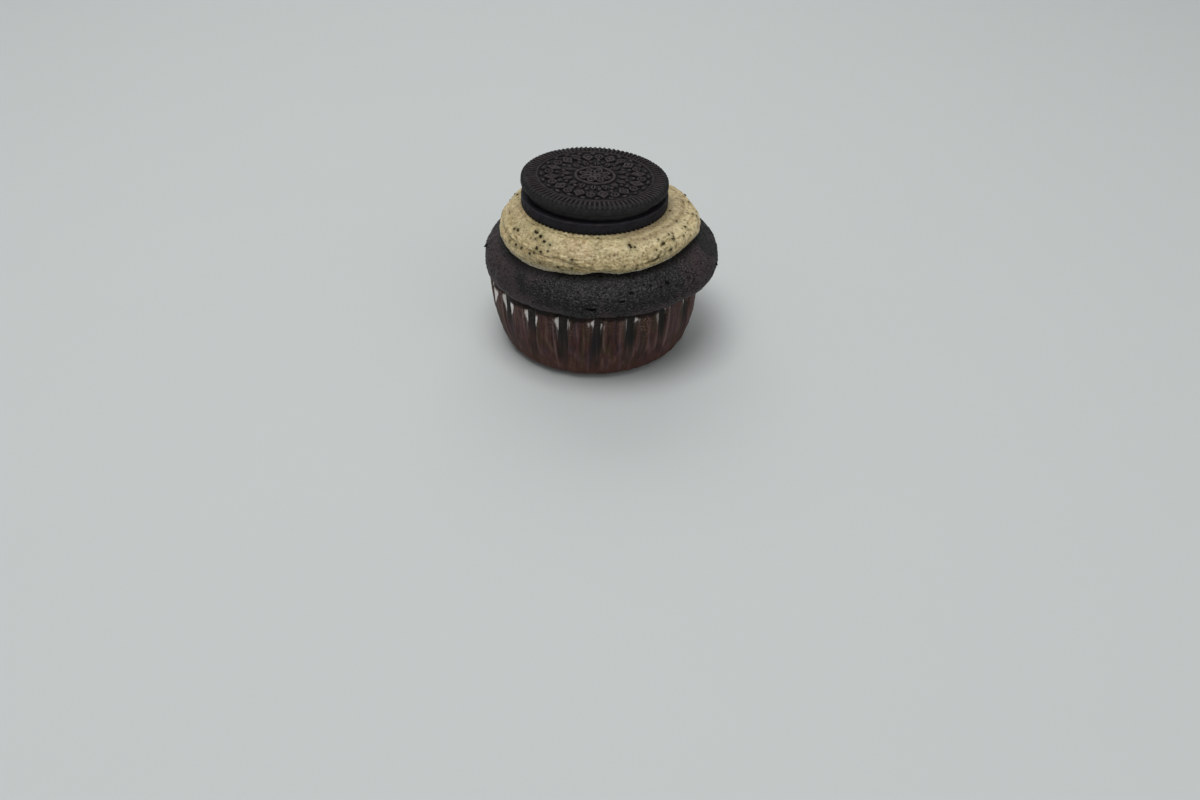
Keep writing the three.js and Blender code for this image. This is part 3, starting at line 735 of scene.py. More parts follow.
def crumbs(name, spots, rng, sink=0.35, smooth_faces=False, cuts=7, blunt=0.45, jitter=0.10):
    """Joined crumbs: spots holds (position, normal, size, stretch) in millimetres."""
    tiny, small, big = icosphere(0), icosphere(1), icosphere(2)
    co, faces, tone, off = [], [], [], 0
    for p, n, size, stretch in spots:
        v, f = big if size > 0.36 else small if size > 0.14 else tiny
        # broken, angular grains: each is a sphere cut by a few random planes
        q = v.copy()
        for _ in range(cuts):
            c = rng.normal(size=3)
            c /= np.linalg.norm(c)
            lim = rng.uniform(blunt, 0.92)
            over = np.maximum(q @ c - lim, 0)
            q = q - over[:, None] * c
        q *= 1 + jitter * rng.normal(size=(len(q), 1))
        a = rng.normal(size=3)
        t1 = np.cross(n, a)
        t1 /= np.linalg.norm(t1)
        t2 = np.cross(n, t1)
        s = size * np.array([stretch, 1.0 / stretch**0.5, rng.uniform(0.6, 0.95)])
        q = q * s
        w = q[:, :1] * t1 + q[:, 1:2] * t2 + q[:, 2:3] * n
        co.append(p + n * size * (0.8 - 1.6 * sink) * 0.6 + w)
        faces.append(f + off)
        tone.append(np.full(len(v), np.clip(rng.uniform() * 0.5 + 0.7 * (1 - size / 0.3), 0, 1)))
        off += len(v)
    return mesh_from(name, np.concatenate(co), [np.concatenate(faces)], {"tone": np.concatenate(tone)}, smooth_faces)


# --------------------------------------------------------------------- cookie
def wafer_relief(r, th):
    """Height of the embossed design, 0 to 1, at radius r (mm) and angle th (radians). A plain geometric pattern:
    a rosette in a ring, a wreath of leaves with beads, diamonds with rings between them, and a thin border."""
    def stroke(d, w):
        return 1 - smooth(w * 0.5 - 0.08, w * 0.5 + 0.14, np.abs(d))

    def solid(d):
        return 1 - smooth(-0.10, 0.14, d)

    def fold_angle(n, shift=0.0):
        s = 2 * np.pi / n
        return (th + shift + s / 2) % s - s / 2

    out = np.zeros_like(r)
    # rosette of eight petals with a button in the middle
    a = fold_angle(8)
    x, y = r * np.cos(a), r * np.sin(a)
    petal = np.sqrt(((x - 3.15) / 1.8) ** 2 + (y / 1.0) ** 2) - 1
    out = np.maximum(out, stroke(petal * 1.0, 0.55) * (r > 1.0))
    out = np.maximum(out, solid(np.sqrt(((x - 3.3) / 0.85) ** 2 + (y / 0.3) ** 2) - 1))
    out = np.maximum(out, solid(r - 0.85))
    # ring round it
    out = np.maximum(out, stroke(r - 6.25, 0.85))
    # sixteen leaves pointing outwards, each with a groove, and a bead between each two
    a = fold_angle(16, 0.1)
    x, y = r * np.cos(a), r * np.sin(a)
    t = (x - 7.5) / 3.3
    width = 0.86 * np.sin(np.pi * np.clip(t, 0, 1)) ** 0.7
    leaf = np.where((t > 0) & (t < 1), np.abs(y) - width, 1.0)
    out = np.maximum(out, solid(leaf) * (1 - 0.85 * stroke(y, 0.26) * (t < 0.8)))
    a = fold_angle(16, 0.1 + np.pi / 16)
    x, y = r * np.cos(a), r * np.sin(a)
    out = np.maximum(out, solid(np.hypot(x - 10.5, y) - 0.62))
    # twelve diamonds, with a ring and two beads between each two
    a = fold_angle(12)
    x, y = r * np.cos(a) - 14.2, r * np.sin(a)
    dia = (np.abs(x) / 2.5 + np.abs(y) / 1.95 - 1) * 1.3
    out = np.maximum(out, stroke(dia + 0.3, 0.62))
    out = np.maximum(out, solid((np.abs(x) / 1.0 + np.abs(y) / 0.8 - 1) * 0.7))
    a = fold_angle(12, np.pi / 12)
    x, y = r * np.cos(a), r * np.sin(a)
    out = np.maximum(out, stroke(np.hypot(x - 14.9, y) - 1.15, 0.6))
    out = np.maximum(out, solid(np.hypot(x - 14.9, y) - 0.42))
    out = np.maximum(out, solid(np.hypot(x - 12.4, y) - 0.62))
    a = fold_angle(24, np.pi / 24)
    x, y = r * np.cos(a), r * np.sin(a)
    out = np.maximum(out, solid(np.sqrt(((x - 17.3) / 0.5) ** 2 + (y / 0.85) ** 2) - 1))
    # thin border
    return np.maximum(out, 0.75 * stroke(r - 18.75, 0.4))


def make_wafer(name, thickness, centre, tilt, flip, seed, columns, detail):
    """Biscuit disc in its own frame, flat side at z = 0 and embossed side at z = thickness; flip turns it over."""
    N = columns
    th = np.arange(N) * 2 * np.pi / N
    T = thickness
    r_edge = COOKIE_R
    tooth = 0.5 + 0.5 * np.cos(TEETH * th)        # 1 on a tooth, 0 in the groove between two
    bite = 1.0 if detail else 0.62                # the lower one's teeth are half filled with cream
    rows, edges = [], []

    def ring(r, z, edge=0.0):
        edges.append(edge)
        r, z = np.broadcast_arrays(r, z)
        rr = np.broadcast_to(r, th.shape)
        zz = np.broadcast_to(z, th.shape)
        rows.append(np.stack([rr * np.sin(th), -rr * np.cos(th), zz], -1))

    # underside, plain
    for r in ([8.0, 15.0, 19.5, 21.2] if detail else [12.0, 20.0]):
        ring(r, 0.0)
    low = 0.42 if detail else 0.0                 # the upper biscuit's underside is more rounded at its edge
    if detail:
        ring(r_edge - 1.10, 0.05, 0.0)
        ring(r_edge - 0.74, 0.18, 0.2)
    ring(r_edge - 0.46, 0.88 * low, 0.3)
    ring(r_edge - 0.26, 0.05 + low, 1.0)
    ring(r_edge - 0.10, 0.18 + low, 0.9)
    ring(r_edge - 0.04, 0.34 + low, 0.2)
    # side wall: smooth near the filling, toothed towards the face
    for z in np.linspace(0.6 + low, T - 0.95, 6 if detail else 7):
        k = smooth(T * 0.55, T - 0.65, z)
        ring(r_edge - 0.04 - 0.58 * bite * k * (1 - tooth), z)
    for f in np.linspace(0.15, 1.0, 7):
        z = T - 0.95 + 0.75 * math.sin(f * math.pi / 2)
        r = r_edge - 0.04 - 0.95 * (1 - math.cos(f * math.pi / 2))
        ring(r - bite * (0.58 + 0.16 * f) * (1 - tooth), z)
    # the face, from the rim to the middle
    face0 = len(rows)
    step = 0.2 if detail else 0.8
    face_r = np.arange(r_edge - 1.2, 0.35, -step)
    for r in face_r:
        ring(r - 0.74 * bite * (1 - tooth) * smooth(19.2, 21.3, r), T)
    X = np.array(rows)
    R = len(X)
    r = np.hypot(X[..., 0], X[..., 1])
    ths = np.broadcast_to(th, (R, N))
    isface = np.zeros((R, 1))
    isface[face0:] = 1
    relief = np.zeros((R, N))
    if detail:
        relief[face0:] = wafer_relief(r[face0:] / 0.94, ths[face0:] + 0.35)
    # short ridges in line with the teeth, over the outer part of the face
    ridge_on = smooth(18.05, 18.5, r) * isface
    ridge = np.broadcast_to(tooth, (R, N)) * ridge_on
    worn = 0.85 + 0.45 * fbm(X + seed, 5.0, 1, 90)
    # the field dips round each raised shape
    soft = relief.copy()
    for axis, n in ((0, 2), (0, 2), (1, 5), (1, 5)):
        soft = (soft + np.roll(soft, n, axis) + np.roll(soft, -n, axis)) / 3
    moat = np.clip(soft - relief, 0, 1) * isface * (r < 18.1)
    field = -0.30 * isface * (1 - smooth(21.0, 21.6, r))
    z = X[..., 2] + field
    z = z + (0.55 * relief - 0.50 * moat) * worn * isface + 0.52 * ridge * worn * (1 - 0.6 * smooth(20.9, 21.5, r))
    # grain of the biscuit, and a slight warp
    z = z + isface * (0.035 * perlin(X + seed, 0.9, 91) + 0.03 * perlin(X + seed, 0.42, 92) + 0.05 * perlin(X + seed, 7.0, 93))
    p1, _ = cells(X + seed, 1.5, 94, 0.35, 0.05, 0.16)
    tiny = (1 - smooth(0.3, 1.0, p1)) * (1 - 0.5 * relief)
    z = z - 0.10 * tiny * isface
    X[..., 2] = z
    side = np.zeros((R, 1))
    side[(2 if not detail else 4):face0] = 1
    g = 0.05 * perlin(X + seed, 1.2, 95) + 0.035 * perlin(X + seed, 0.5, 96) - 0.07 * tiny
    rr = np.maximum(r, 1e-6)
    X[..., :2] *= (1 + (g * side) / rr)[..., None]
    first, last = [0.0, 0.0, 0.0], [0.0, 0.0, T - 0.30 + (0.3 if detail else 0)]
    # painted shade in the grooves between the teeth
    groove = (1 - tooth) * (0.55 * ridge_on + 0.30 * (1 - isface) * smooth(T * 0.5, T - 0.7, X[..., 2]))
    if not detail:                                # painted shade along the band where its teeth sink into the cream
        groove = groove + 0.7 * smooth(T - 1.0, T - 0.3, X[..., 2])
    edge = np.array(edges)[:, None] * (0.55 + 0.6 * np.clip(0.5 + perlin(X + seed, 2.6, 97), 0, 1))
    # relief also carries a painted highlight on the raised design, the ridges and the edge rings
    vals = {"relief": relief * isface + ridge * 0.9 + 0.8 * edge, "face": np.broadcast_to(isface, (R, N)),
            "tiny": tiny, "moat": np.clip(moat * 2.4 + 1.0 * groove, 0, 1)}
    if flip:
        X = X * np.array([1, 1, -1]) + np.array([0, 0, T])
        X = X[::-1]
        first, last = [0, 0, T - last[2]], [0, 0, T - first[2]]
        vals = {k: np.asarray(np.broadcast_to(v, (R, N)))[::-1] for k, v in vals.items()}
    M = turned(tilt)
    place = lambda V: np.asarray(V, float) @ M.T + centre
    return lathe(name, place(first), place(X), place(last), vals)


def make_filling():
    N = 360
    th = np.arange(N) * 2 * np.pi / N
    space = TOP_CENTRE[2] - LOW_CENTRE[2] - WAFER_LOW_T
    wedge = math.tan(math.radians(TOP_TILT - LOW_TILT))
    rows = []
    edge = FILLING_R + 0.25 * np.sin(3 * th)
    steps = [(0.4, 0.0), (0.85, 0.0), (0.96, 0.0)] + [(1.0 - 0.02 * (1 - math.sin(math.pi * f)), f) for f in np.linspace(0, 1, 9)]
    steps += [(0.96, 1.0), (0.85, 1.0), (0.4, 1.0)]
    for s, f in steps:
        x, y = edge * s * np.sin(th), -edge * s * np.cos(th)
        top = space + 0.12 - wedge * x
        rows.append(np.stack([x, y, 0.02 + (top - 0.02) * f], -1))
    X = np.array(rows)
    r = np.maximum(np.hypot(X[..., 0], X[..., 1]), 1e-6)
    side = np.zeros((len(X), 1))
    side[3:12] = 1
    d = 0.22 * perlin(X, 3.0, 101) + 0.10 * perlin(X, 1.1, 102)
    X[..., :2] *= (1 + d * side / r)[..., None]
    M = turned(LOW_TILT)
    centre = LOW_CENTRE + M @ np.array([0, 0, WAFER_LOW_T])
    place = lambda V: np.asarray(V, float) @ M.T + centre
    return lathe("cookie_cream", place([0, 0, 0.02]), place(X), place([0, 0, space + 0.1]))


# ------------------------------------------------------------------ materials
class Mat:
    """A short way to write a node material."""

    def __init__(self, name):
        self.m = bpy.data.materials.new(name)
        self.m.use_nodes = True
        self.t = self.m.node_tree
        self.bsdf = next(n for n in self.t.nodes if n.type == "BSDF_PRINCIPLED")
        self.coord = self.t.nodes.new("ShaderNodeTexCoord")

    def set(self, **kw):
        for k, v in kw.items():
            self.bsdf.inputs[k.replace("_", " ")].default_value = v
        return self

    def link(self, out, to):
        self.t.links.new(out, to)

    def attr(self, name):
        n = self.t.nodes.new("ShaderNodeAttribute")
        n.attribute_name = name
        return n.outputs["Fac"]

    def where(self, scale=(1, 1, 1)):
        n = self.t.nodes.new("ShaderNodeMapping")
        n.inputs["Scale"].default_value = scale
        self.link(self.coord.outputs["Object"], n.inputs["Vector"])
        return n.outputs["Vector"]

    def noise(self, size, detail=2.0, rough=0.5, vec=None, distort=0.0):
        """size in millimetres"""
        n = self.t.nodes.new("ShaderNodeTexNoise")
        n.inputs["Scale"].default_value = 1000.0 / size
        n.inputs["Detail"].default_value = detail
        n.inputs["Roughness"].default_value = rough
        n.inputs["Distortion"].default_value = distort
        self.link(vec or self.where(), n.inputs["Vector"])
        return n.outputs["Fac"]

    def voronoi(self, size, feature="F1", random=1.0, vec=None, out="Distance"):
        n = self.t.nodes.new("ShaderNodeTexVoronoi")
        n.feature = feature
        n.inputs["Scale"].default_value = 1000.0 / size
        n.inputs["Randomness"].default_value = random
        self.link(vec or self.where(), n.inputs["Vector"])
        return n.outputs[out]

    def math(self, op, a, b=None, clamp=False):
        n = self.t.nodes.new("ShaderNodeMath")
        n.operation = op
        n.use_clamp = clamp
        for i, v in enumerate((a, b)):
            if v is None:
                continue
            if isinstance(v, (int, float)):
                n.inputs[i].default_value = v
            else:
                self.link(v, n.inputs[i])
        return n.outputs[0]

    def span(self, v, a, b, c=0.0, d=1.0):
        n = self.t.nodes.new("ShaderNodeMapRange")
        n.interpolation_type = "SMOOTHSTEP"
        for i, x in ((1, a), (2, b), (3, c), (4, d)):
            n.inputs[i].default_value = x
        self.link(v, n.inputs[0])
        return n.outputs[0]

    def ramp(self, v, stops):
        n = self.t.nodes.new("ShaderNodeValToRGB")
        e = n.color_ramp.elements
        while len(e) > 1:
            e.remove(e[-1])
        e[0].position, e[0].color = stops[0][0], (*stops[0][1], 1)
        for p, c in stops[1:]:
            k = e.new(p)
            k.color = (*c, 1)
        self.link(v, n.inputs[0])
        return n.outputs[0]

    def mix(self, f, a, b, mode="MIX"):
        n = self.t.nodes.new("ShaderNodeMix")
        n.data_type = "RGBA"
        n.blend_type = mode
        n.clamp_factor = True
        for name, v in (("Factor", f), ("A", a), ("B", b)):
            s = [i for i in n.inputs if i.name == name and i.type == ("VALUE" if name == "Factor" else "RGBA")][0]
            if isinstance(v, (int, float)):
                s.default_value = v
            elif isinstance(v, tuple):
                s.default_value = (*v, 1)
            else:
                self.link(v, s)
        return [o for o in n.outputs if o.type == "RGBA"][0]

    def bump(self, height, strength, distance_mm, prev=None):
        n = self.t.nodes.new("ShaderNodeBump")
        n.inputs["Strength"].default_value = strength
        n.inputs["Distance"].default_value = distance_mm * MM
        self.link(height, n.inputs["Height"])
        if prev is not None:
            self.link(prev, n.inputs["Normal"])
        return n.outputs["Normal"]


def srgb(r, g, b):
    f = lambda c: (c / 255 / 12.92) if c / 255 <= 0.04045 else ((c / 255 + 0.055) / 1.055) ** 2.4
    return (f(r), f(g), f(b))


def mat_cake():
    m = Mat("cake_crust")
    big = m.noise(11.0, 3)
    mid = m.noise(2.4, 4, 0.6)
    level = m.where((1.0, 1.0, 1.7))
    fine = m.noise(0.5, 3, 0.6, level)
    dash = m.noise(0.62, 2, 0.55, m.where((1.0, 1.0, 2.3)), 0.4)
    col = m.ramp(big, [(0.34, (0.0072, 0.0074, 0.0069)), (0.5, (0.0078, 0.0074, 0.0075)), (0.66, (0.0098, 0.0083, 0.0090))])
    # lighter mauve crust on the sides: partly the crust's own colour, partly a painted sheen
    col = m.mix(m.span(m.attr("mauve"), 0.1, 0.9, 0.0, 0.9), col, (0.0540, 0.0320, 0.0355))
    col = m.mix(m.span(mid, 0.35, 0.7, 0.0, 0.4), col, (0.0120, 0.0108, 0.0108))
    col = m.mix(m.span(fine, 0.50, 0.74, 0.0, 0.55), col, (0.030, 0.0265, 0.0265))
    rough = m.attr("rough")
    # painted highlights on the crests of the fine relief, and painted shade in its troughs
    col = m.mix(m.math("MULTIPLY", m.span(dash, 0.52, 0.64, 0.0, 0.85), rough), col, (0.070, 0.066, 0.065))
    col = m.mix(m.span(m.attr("height"), 0.58, 0.90, 0.0, 0.60), col, (0.070, 0.066, 0.065))
    col = m.mix(m.math("MULTIPLY", m.span(dash, 0.50, 0.38, 0.0, 0.95), rough), col, (0.0009, 0.0008, 0.0008))
    col = m.mix(m.span(m.attr("height"), 0.48, 0.20, 0.0, 0.92), col, (0.0013, 0.0012, 0.0012))
    # darker at the lip's lower edge: partly crumbly crust, partly painted shade under the lip
    col = m.mix(m.math("MULTIPLY", m.attr("brink"), 0.85), col, (0.0022, 0.0019, 0.0020))
    # painted shade in the pores and holes
    col = m.mix(m.span(m.attr("pit"), 0.15, 0.9, 0.0, 0.95), col, (0.0012, 0.0010, 0.0010))
    # painted contact shadow where the frosting lies on the crust
    col = m.mix(m.math("MULTIPLY", m.attr("foot"), 0.85), col, (0.0026, 0.0022, 0.0018))
    m.link(col, m.bsdf.inputs["Base Color"])
    m.link(m.span(m.noise(1.6, 3), 0.35, 0.65, 0.62, 0.50), m.bsdf.inputs["Roughness"])
    b = m.bump(dash, 0.6, 0.22)
    b = m.bump(m.voronoi(0.6, "SMOOTH_F1", 1.0, level), 0.35, 0.14, b)
    b = m.bump(fine, 0.4, 0.09, b)
    m.link(b, m.bsdf.inputs["Normal"])
    m.set(Specular_IOR_Level=0.28)
    return m.m


def mat_frosting():
    m = Mat("frosting_cream")
    big = m.noise(7.0, 2)
    col = m.ramp(big, [(0.3, srgb(184, 171, 122)), (0.52, srgb(197, 179, 130)), (0.72, srgb(207, 175, 132))])
    flow = m.attr("flow")
    col = m.mix(m.span(flow, 0.30, 0.80, 0.0, 0.40), col, srgb(214, 198, 154))
    col = m.mix(m.span(flow, 0.42, 0.15, 0.0, 0.40), col, srgb(166, 146, 100))
    mott = m.noise(1.1, 4, 0.65)
    col = m.mix(m.span(mott, 0.45, 0.72, 0.0, 0.50), col, srgb(160, 142, 98))
    col = m.mix(m.span(m.noise(4.5, 2), 0.56, 0.70, 0.0, 0.50), col, srgb(212, 172, 134))
    # grey-green stain that the crumbs leave
    col = m.mix(m.span(m.noise(3.2, 3), 0.52, 0.75, 0.0, 0.45), col, srgb(150, 146, 112))
    # painted shade (tan) and painted light (pale) on the cream
    col = m.mix(m.math("MULTIPLY", m.attr("tan"), 0.62), col, srgb(152, 132, 92))
    col = m.mix(m.math("MULTIPLY", m.attr("pale"), 0.85), col, srgb(224, 208, 164))
    col = m.mix(m.math("MULTIPLY", m.attr("smear"), 0.75), col, srgb(130, 106, 74))
    # curdled skin: painted highlight on the pale crests and painted shade in the tan hollows
    col = m.mix(m.span(m.attr("curd"), 0.55, 0.85, 0.0, 0.60), col, srgb(232, 218, 178))
    col = m.mix(m.span(m.attr("curd"), 0.46, 0.18, 0.0, 0.75), col, srgb(142, 120, 78))
    # fine grain: pale specks painted as glints of sugar, and small tan specks
    grain = m.noise(0.42, 3, 0.7)
    col = m.mix(m.span(grain, 0.53, 0.68, 0.0, 0.50), col, srgb(236, 224, 188))
    col = m.mix(m.span(grain, 0.45, 0.32, 0.0, 0.50), col, srgb(142, 122, 80))
    col = m.mix(m.math("MULTIPLY", m.attr("stain"), 0.42), col, srgb(150, 144, 104))
    # painted highlight along the foot's lower edge, with the thinner, paler cream there
    col = m.mix(m.span(m.attr("edge"), 0.1, 0.9, 0.0, 0.80), col, srgb(222, 216, 196))
    # crumb dust, finer than the modelled crumbs: two sizes of dark specks
    sp = m.voronoi(0.85)
    keep = m.span(m.noise(2.1, 1), 0.42, 0.6)
    dust = m.math("MULTIPLY", m.span(sp, 0.24, 0.08), keep)
    col = m.mix(m.math("MULTIPLY", dust, 0.65), col, srgb(108, 90, 56))
    sp2 = m.voronoi(0.42)
    keep2 = m.span(m.noise(1.3, 1), 0.48, 0.62)
    dust2 = m.math("MULTIPLY", m.span(sp2, 0.26, 0.08), keep2)
    col = m.mix(m.math("MULTIPLY", dust2, 0.6), col, srgb(116, 100, 66))
    # painted shade in the broken air bubbles
    col = m.mix(m.math("MULTIPLY", m.attr("hole"), 0.5), col, srgb(112, 92, 56))
    col = m.mix(m.math("MULTIPLY", m.attr("halo"), 0.90), col, srgb(98, 86, 48))
    # painted shade in the piping's seam
    col = m.mix(m.math("MULTIPLY", m.attr("crease"), 0.65), col, srgb(122, 98, 66))
    m.link(col, m.bsdf.inputs["Base Color"])
    m.link(m.span(m.noise(1.0, 2), 0.3, 0.7, 0.46, 0.62), m.bsdf.inputs["Roughness"])
    b = m.bump(m.noise(0.7, 3, 0.6), 0.35, 0.14)
    b = m.bump(m.noise(0.22, 2), 0.3, 0.05, b)
    m.link(b, m.bsdf.inputs["Normal"])
    m.set(Specular_IOR_Level=0.42, Subsurface_Weight=0.15, Subsurface_Scale=0.0009)
    m.bsdf.inputs["Subsurface Radius"].default_value = (1.0, 0.75, 0.45)
    return m.m


def mat_crumb(name, lo, hi):
    m = Mat(name)
    col = m.mix(m.attr("tone"), lo, hi)
    n = m.noise(0.3, 3, 0.6)
    col = m.mix(m.span(n, 0.45, 0.8, 0.0, 0.25), col, tuple(c * 1.3 for c in hi))
    m.link(col, m.bsdf.inputs["Base Color"])
    m.link(m.span(n, 0.3, 0.7, 0.55, 0.85), m.bsdf.inputs["Roughness"])
    m.link(m.bump(n, 0.4, 0.06), m.bsdf.inputs["Normal"])
    m.set(Specular_IOR_Level=0.15)
    return m.m


def mat_wafer(name, side_dark, side_light):
    m = Mat(name)
    big = m.noise(8.0, 3)
    fine = m.noise(0.45, 4, 0.65)
    mid = m.noise(1.6, 3, 0.55)
    face = m.attr("face")
    side = m.ramp(big, [(0.3, side_dark), (0.7, side_light)])
    top = m.ramp(big, [(0.3, (0.0135, 0.0120, 0.0124)), (0.7, (0.0195, 0.0155, 0.0162))])
    col = m.mix(face, side, top)
    # painted highlight on the raised design, the ridges and the edge rings
    col = m.mix(m.span(m.attr("relief"), 0.15, 0.95, 0.0, 0.90), col, (0.048, 0.0375, 0.0390))
    col = m.mix(m.span(mid, 0.38, 0.72, 0.0, 0.5), col, (0.0100, 0.0090, 0.0092))
    col = m.mix(m.span(fine, 0.50, 0.78, 0.0, 0.55), col, (0.060, 0.048, 0.047))
    # painted shade round the raised design, in the grooves between the teeth, and where the lower biscuit meets the
    # cream
    col = m.mix(m.span(m.attr("moat"), 0.05, 0.50, 0.0, 0.96), col, (0.0010, 0.0009, 0.0010))
    # painted shade in the small pores
    col = m.mix(m.span(m.attr("tiny"), 0.1, 0.9, 0.0, 0.7), col, (0.003, 0.0026, 0.0026))
    m.link(col, m.bsdf.inputs["Base Color"])
    m.link(m.span(mid, 0.3, 0.7, 0.55, 0.75), m.bsdf.inputs["Roughness"])
    b = m.bump(fine, 0.5, 0.10)
    b = m.bump(m.noise(0.18, 2), 0.35, 0.035, b)
    m.link(b, m.bsdf.inputs["Normal"])
    m.set(Specular_IOR_Level=0.10)
    return m.m


def mat_filling():
    m = Mat("cookie_cream")
    n = m.noise(1.5, 3)
    m.link(m.ramp(n, [(0.3, (0.0300, 0.0280, 0.0275)), (0.7, (0.0430, 0.0400, 0.0395))]), m.bsdf.inputs["Base Color"])
    m.link(m.span(n, 0.3, 0.7, 0.55, 0.75), m.bsdf.inputs["Roughness"])
    m.link(m.bump(m.noise(0.5, 3), 0.3, 0.08), m.bsdf.inputs["Normal"])
    m.set(Specular_IOR_Level=0.12)
    return m.m


def mat_case():
    m = Mat("case_paper")
    vert = m.where((1.0, 1.0, 0.09))
    streak = m.noise(1.2, 2, 0.5, vert)
    wide = m.noise(3.0, 2, 0.5, vert)
    hue = m.noise(2.2, 2, 0.5, m.where((1.0, 1.0, 0.22)))
    recess = m.attr("recess")
    panel = m.ramp(hue, [(0.32, (0.0585, 0.0415, 0.0225)), (0.46, (0.0775, 0.0345, 0.0255)), (0.56, (0.0700, 0.0300, 0.0290)),
                         (0.68, (0.0565, 0.0340, 0.0425))])
    panel = m.mix(m.span(streak, 0.50, 0.66, 0.0, 0.75), panel, (0.142, 0.086, 0.078))
    panel = m.mix(m.span(streak, 0.47, 0.33, 0.0, 0.80), panel, (0.025, 0.0143, 0.0137))
    panel = m.mix(m.span(wide, 0.52, 0.68, 0.0, 0.55), panel, (0.081, 0.045, 0.053))
    panel = m.mix(m.span(wide, 0.47, 0.34, 0.0, 0.55), panel, (0.032, 0.0245, 0.0160))
    panel = m.mix(m.span(m.attr("up"), 0.42, 0.04, 0.0, 0.60), panel, (0.100, 0.045, 0.030))
    # inside a recess: partly the darker paper in the fold, partly painted shade deep in it
    dark = m.ramp(streak, [(0.3, (0.0120, 0.0150, 0.0135)), (0.52, (0.0190, 0.0195, 0.0190)), (0.7, (0.0320, 0.0270, 0.0275))])
    col = m.mix(m.math("MULTIPLY", recess, 0.95), panel, dark)
    # grease spots and rubbed print under the cake's lip
    spots = m.noise(0.8, 4, 0.6)
    grease = m.math("MULTIPLY", m.span(spots, 0.46, 0.62), m.attr("under"))
    col = m.mix(m.math("MULTIPLY", grease, 0.75), col, (0.125, 0.095, 0.050))
    rub = m.math("MULTIPLY", m.span(m.noise(0.55, 2, 0.5), 0.54, 0.68), m.attr("under"))
    col = m.mix(m.math("MULTIPLY", rub, 0.85), col, (0.25, 0.170, 0.150))
    dirt = m.math("MULTIPLY", m.span(m.noise(0.60, 2, 0.5), 0.52, 0.66), m.attr("under"))
    col = m.mix(m.math("MULTIPLY", dirt, 0.85), col, (0.008, 0.0062, 0.0048))
    # painted highlights down the folds, and pale patches where the folds open at the rim
    fold = m.math("MULTIPLY", m.attr("fold"), m.span(m.noise(2.6, 3, 0.6, vert), 0.36, 0.60, 0.10, 1.0))
    col = m.mix(m.math("MULTIPLY", fold, 0.85), col, (0.215, 0.145, 0.138))
    fl = m.math("MULTIPLY", m.attr("fleck"), m.span(m.noise(0.8, 3), 0.30, 0.48, 0.70, 1.0))
    col = m.mix(fl, col, (0.84, 0.79, 0.76))
    # painted shadow of the cake's lip on the paper just under it
    col = m.mix(m.math("MULTIPLY", m.attr("painted_lip_shadow"), 0.84), col, (0.0040, 0.0034, 0.0038))
    m.link(col, m.bsdf.inputs["Base Color"])
    m.link(m.span(streak, 0.3, 0.7, 0.50, 0.68), m.bsdf.inputs["Roughness"])
    b = m.bump(m.noise(0.9, 3, 0.6, m.where((1, 1, 0.4))), 0.4, 0.12)
    m.link(b, m.bsdf.inputs["Normal"])
    m.set(Specular_IOR_Level=0.09)
    return m.m


def mat_plain(name, color, rough):
    m = Mat(name)
    n = m.noise(60.0, 3)
    m.link(m.mix(m.span(n, 0.3, 0.7, 0.0, 0.35), color, tuple(c * 0.985 for c in color)), m.bsdf.inputs["Base Color"])
    m.set(Roughness=rough, Specular_IOR_Level=0.25)
    return m.m


# ------------------------------------------------------------------- assembly
rng = np.random.default_rng(7)


def finish_piece(ob, mat, slot, *nodes):
    ob.data.materials.append(mat)
    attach(ob, "root")
    if nodes:
        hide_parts(*nodes)
    return ob


case = finish_piece(make_case(), mat_case(), "case_paper", "paper_case")
cake = finish_piece(make_cake(), mat_cake(), "cake", "cake")
icing, icing_rows, icing_normals, icing_first = make_frosting()
finish_piece(icing, mat_frosting(), "frosting", "frosting")
wafer_mat = mat_wafer("cookie_wafer", (0.0215, 0.0217, 0.0226), (0.0275, 0.0271, 0.0287))
# the lower biscuit's side is darker and bluer than the upper one's: painted shade on the same biscuit
wafer_low_mat = mat_wafer("cookie_wafer_low", (0.0175, 0.0175, 0.0235), (0.0232, 0.0228, 0.0312))
# the lower biscuit is pressed a little into the cream
low = finish_piece(make_wafer("cookie_wafer_low", WAFER_LOW_T + 0.6, LOW_CENTRE - np.array([0, 0, 0.6]), LOW_TILT, True, 3.3, 720,
                              False),
                   wafer_low_mat, "wafer", "cookie_bottom_wafer")
top = finish_piece(make_wafer("cookie_wafer_top", WAFER_TOP_T, TOP_CENTRE, TOP_TILT, False, 11.7, 720, True),
                   wafer_mat, "wafer", "cookie_top_wafer")
cream = finish_piece(make_filling(), mat_filling(), "filling", "cookie_filling")

# crumbs in the frosting: the larger ones where they lie, the rest scattered
az_of = lambda P: np.degrees(np.arctan2(P[..., 0] - ICING_X, -P[..., 1]))
flat = icing_rows.reshape(-1, 3)
flat_n = icing_normals.reshape(-1, 3)
flat_az = az_of(flat)
spots = []
for a, z, s, st in PLACED:
    d = (wrap(flat_az - a - 0.5) * 0.5) ** 2 + (flat[:, 2] - z) ** 2
    # never on the flat part under the cookie
    d = np.where(np.hypot(flat[:, 0] - LOW_CENTRE[0], flat[:, 1] - LOW_CENTRE[1]) < 23.3, 99, d)
    i = int(np.argmin(d))
    spots.append((flat[i], flat_n[i], s * (1.14 + 0.14 * bell(a, -48, 14)), 1 + 0.6 * (st - 1)))
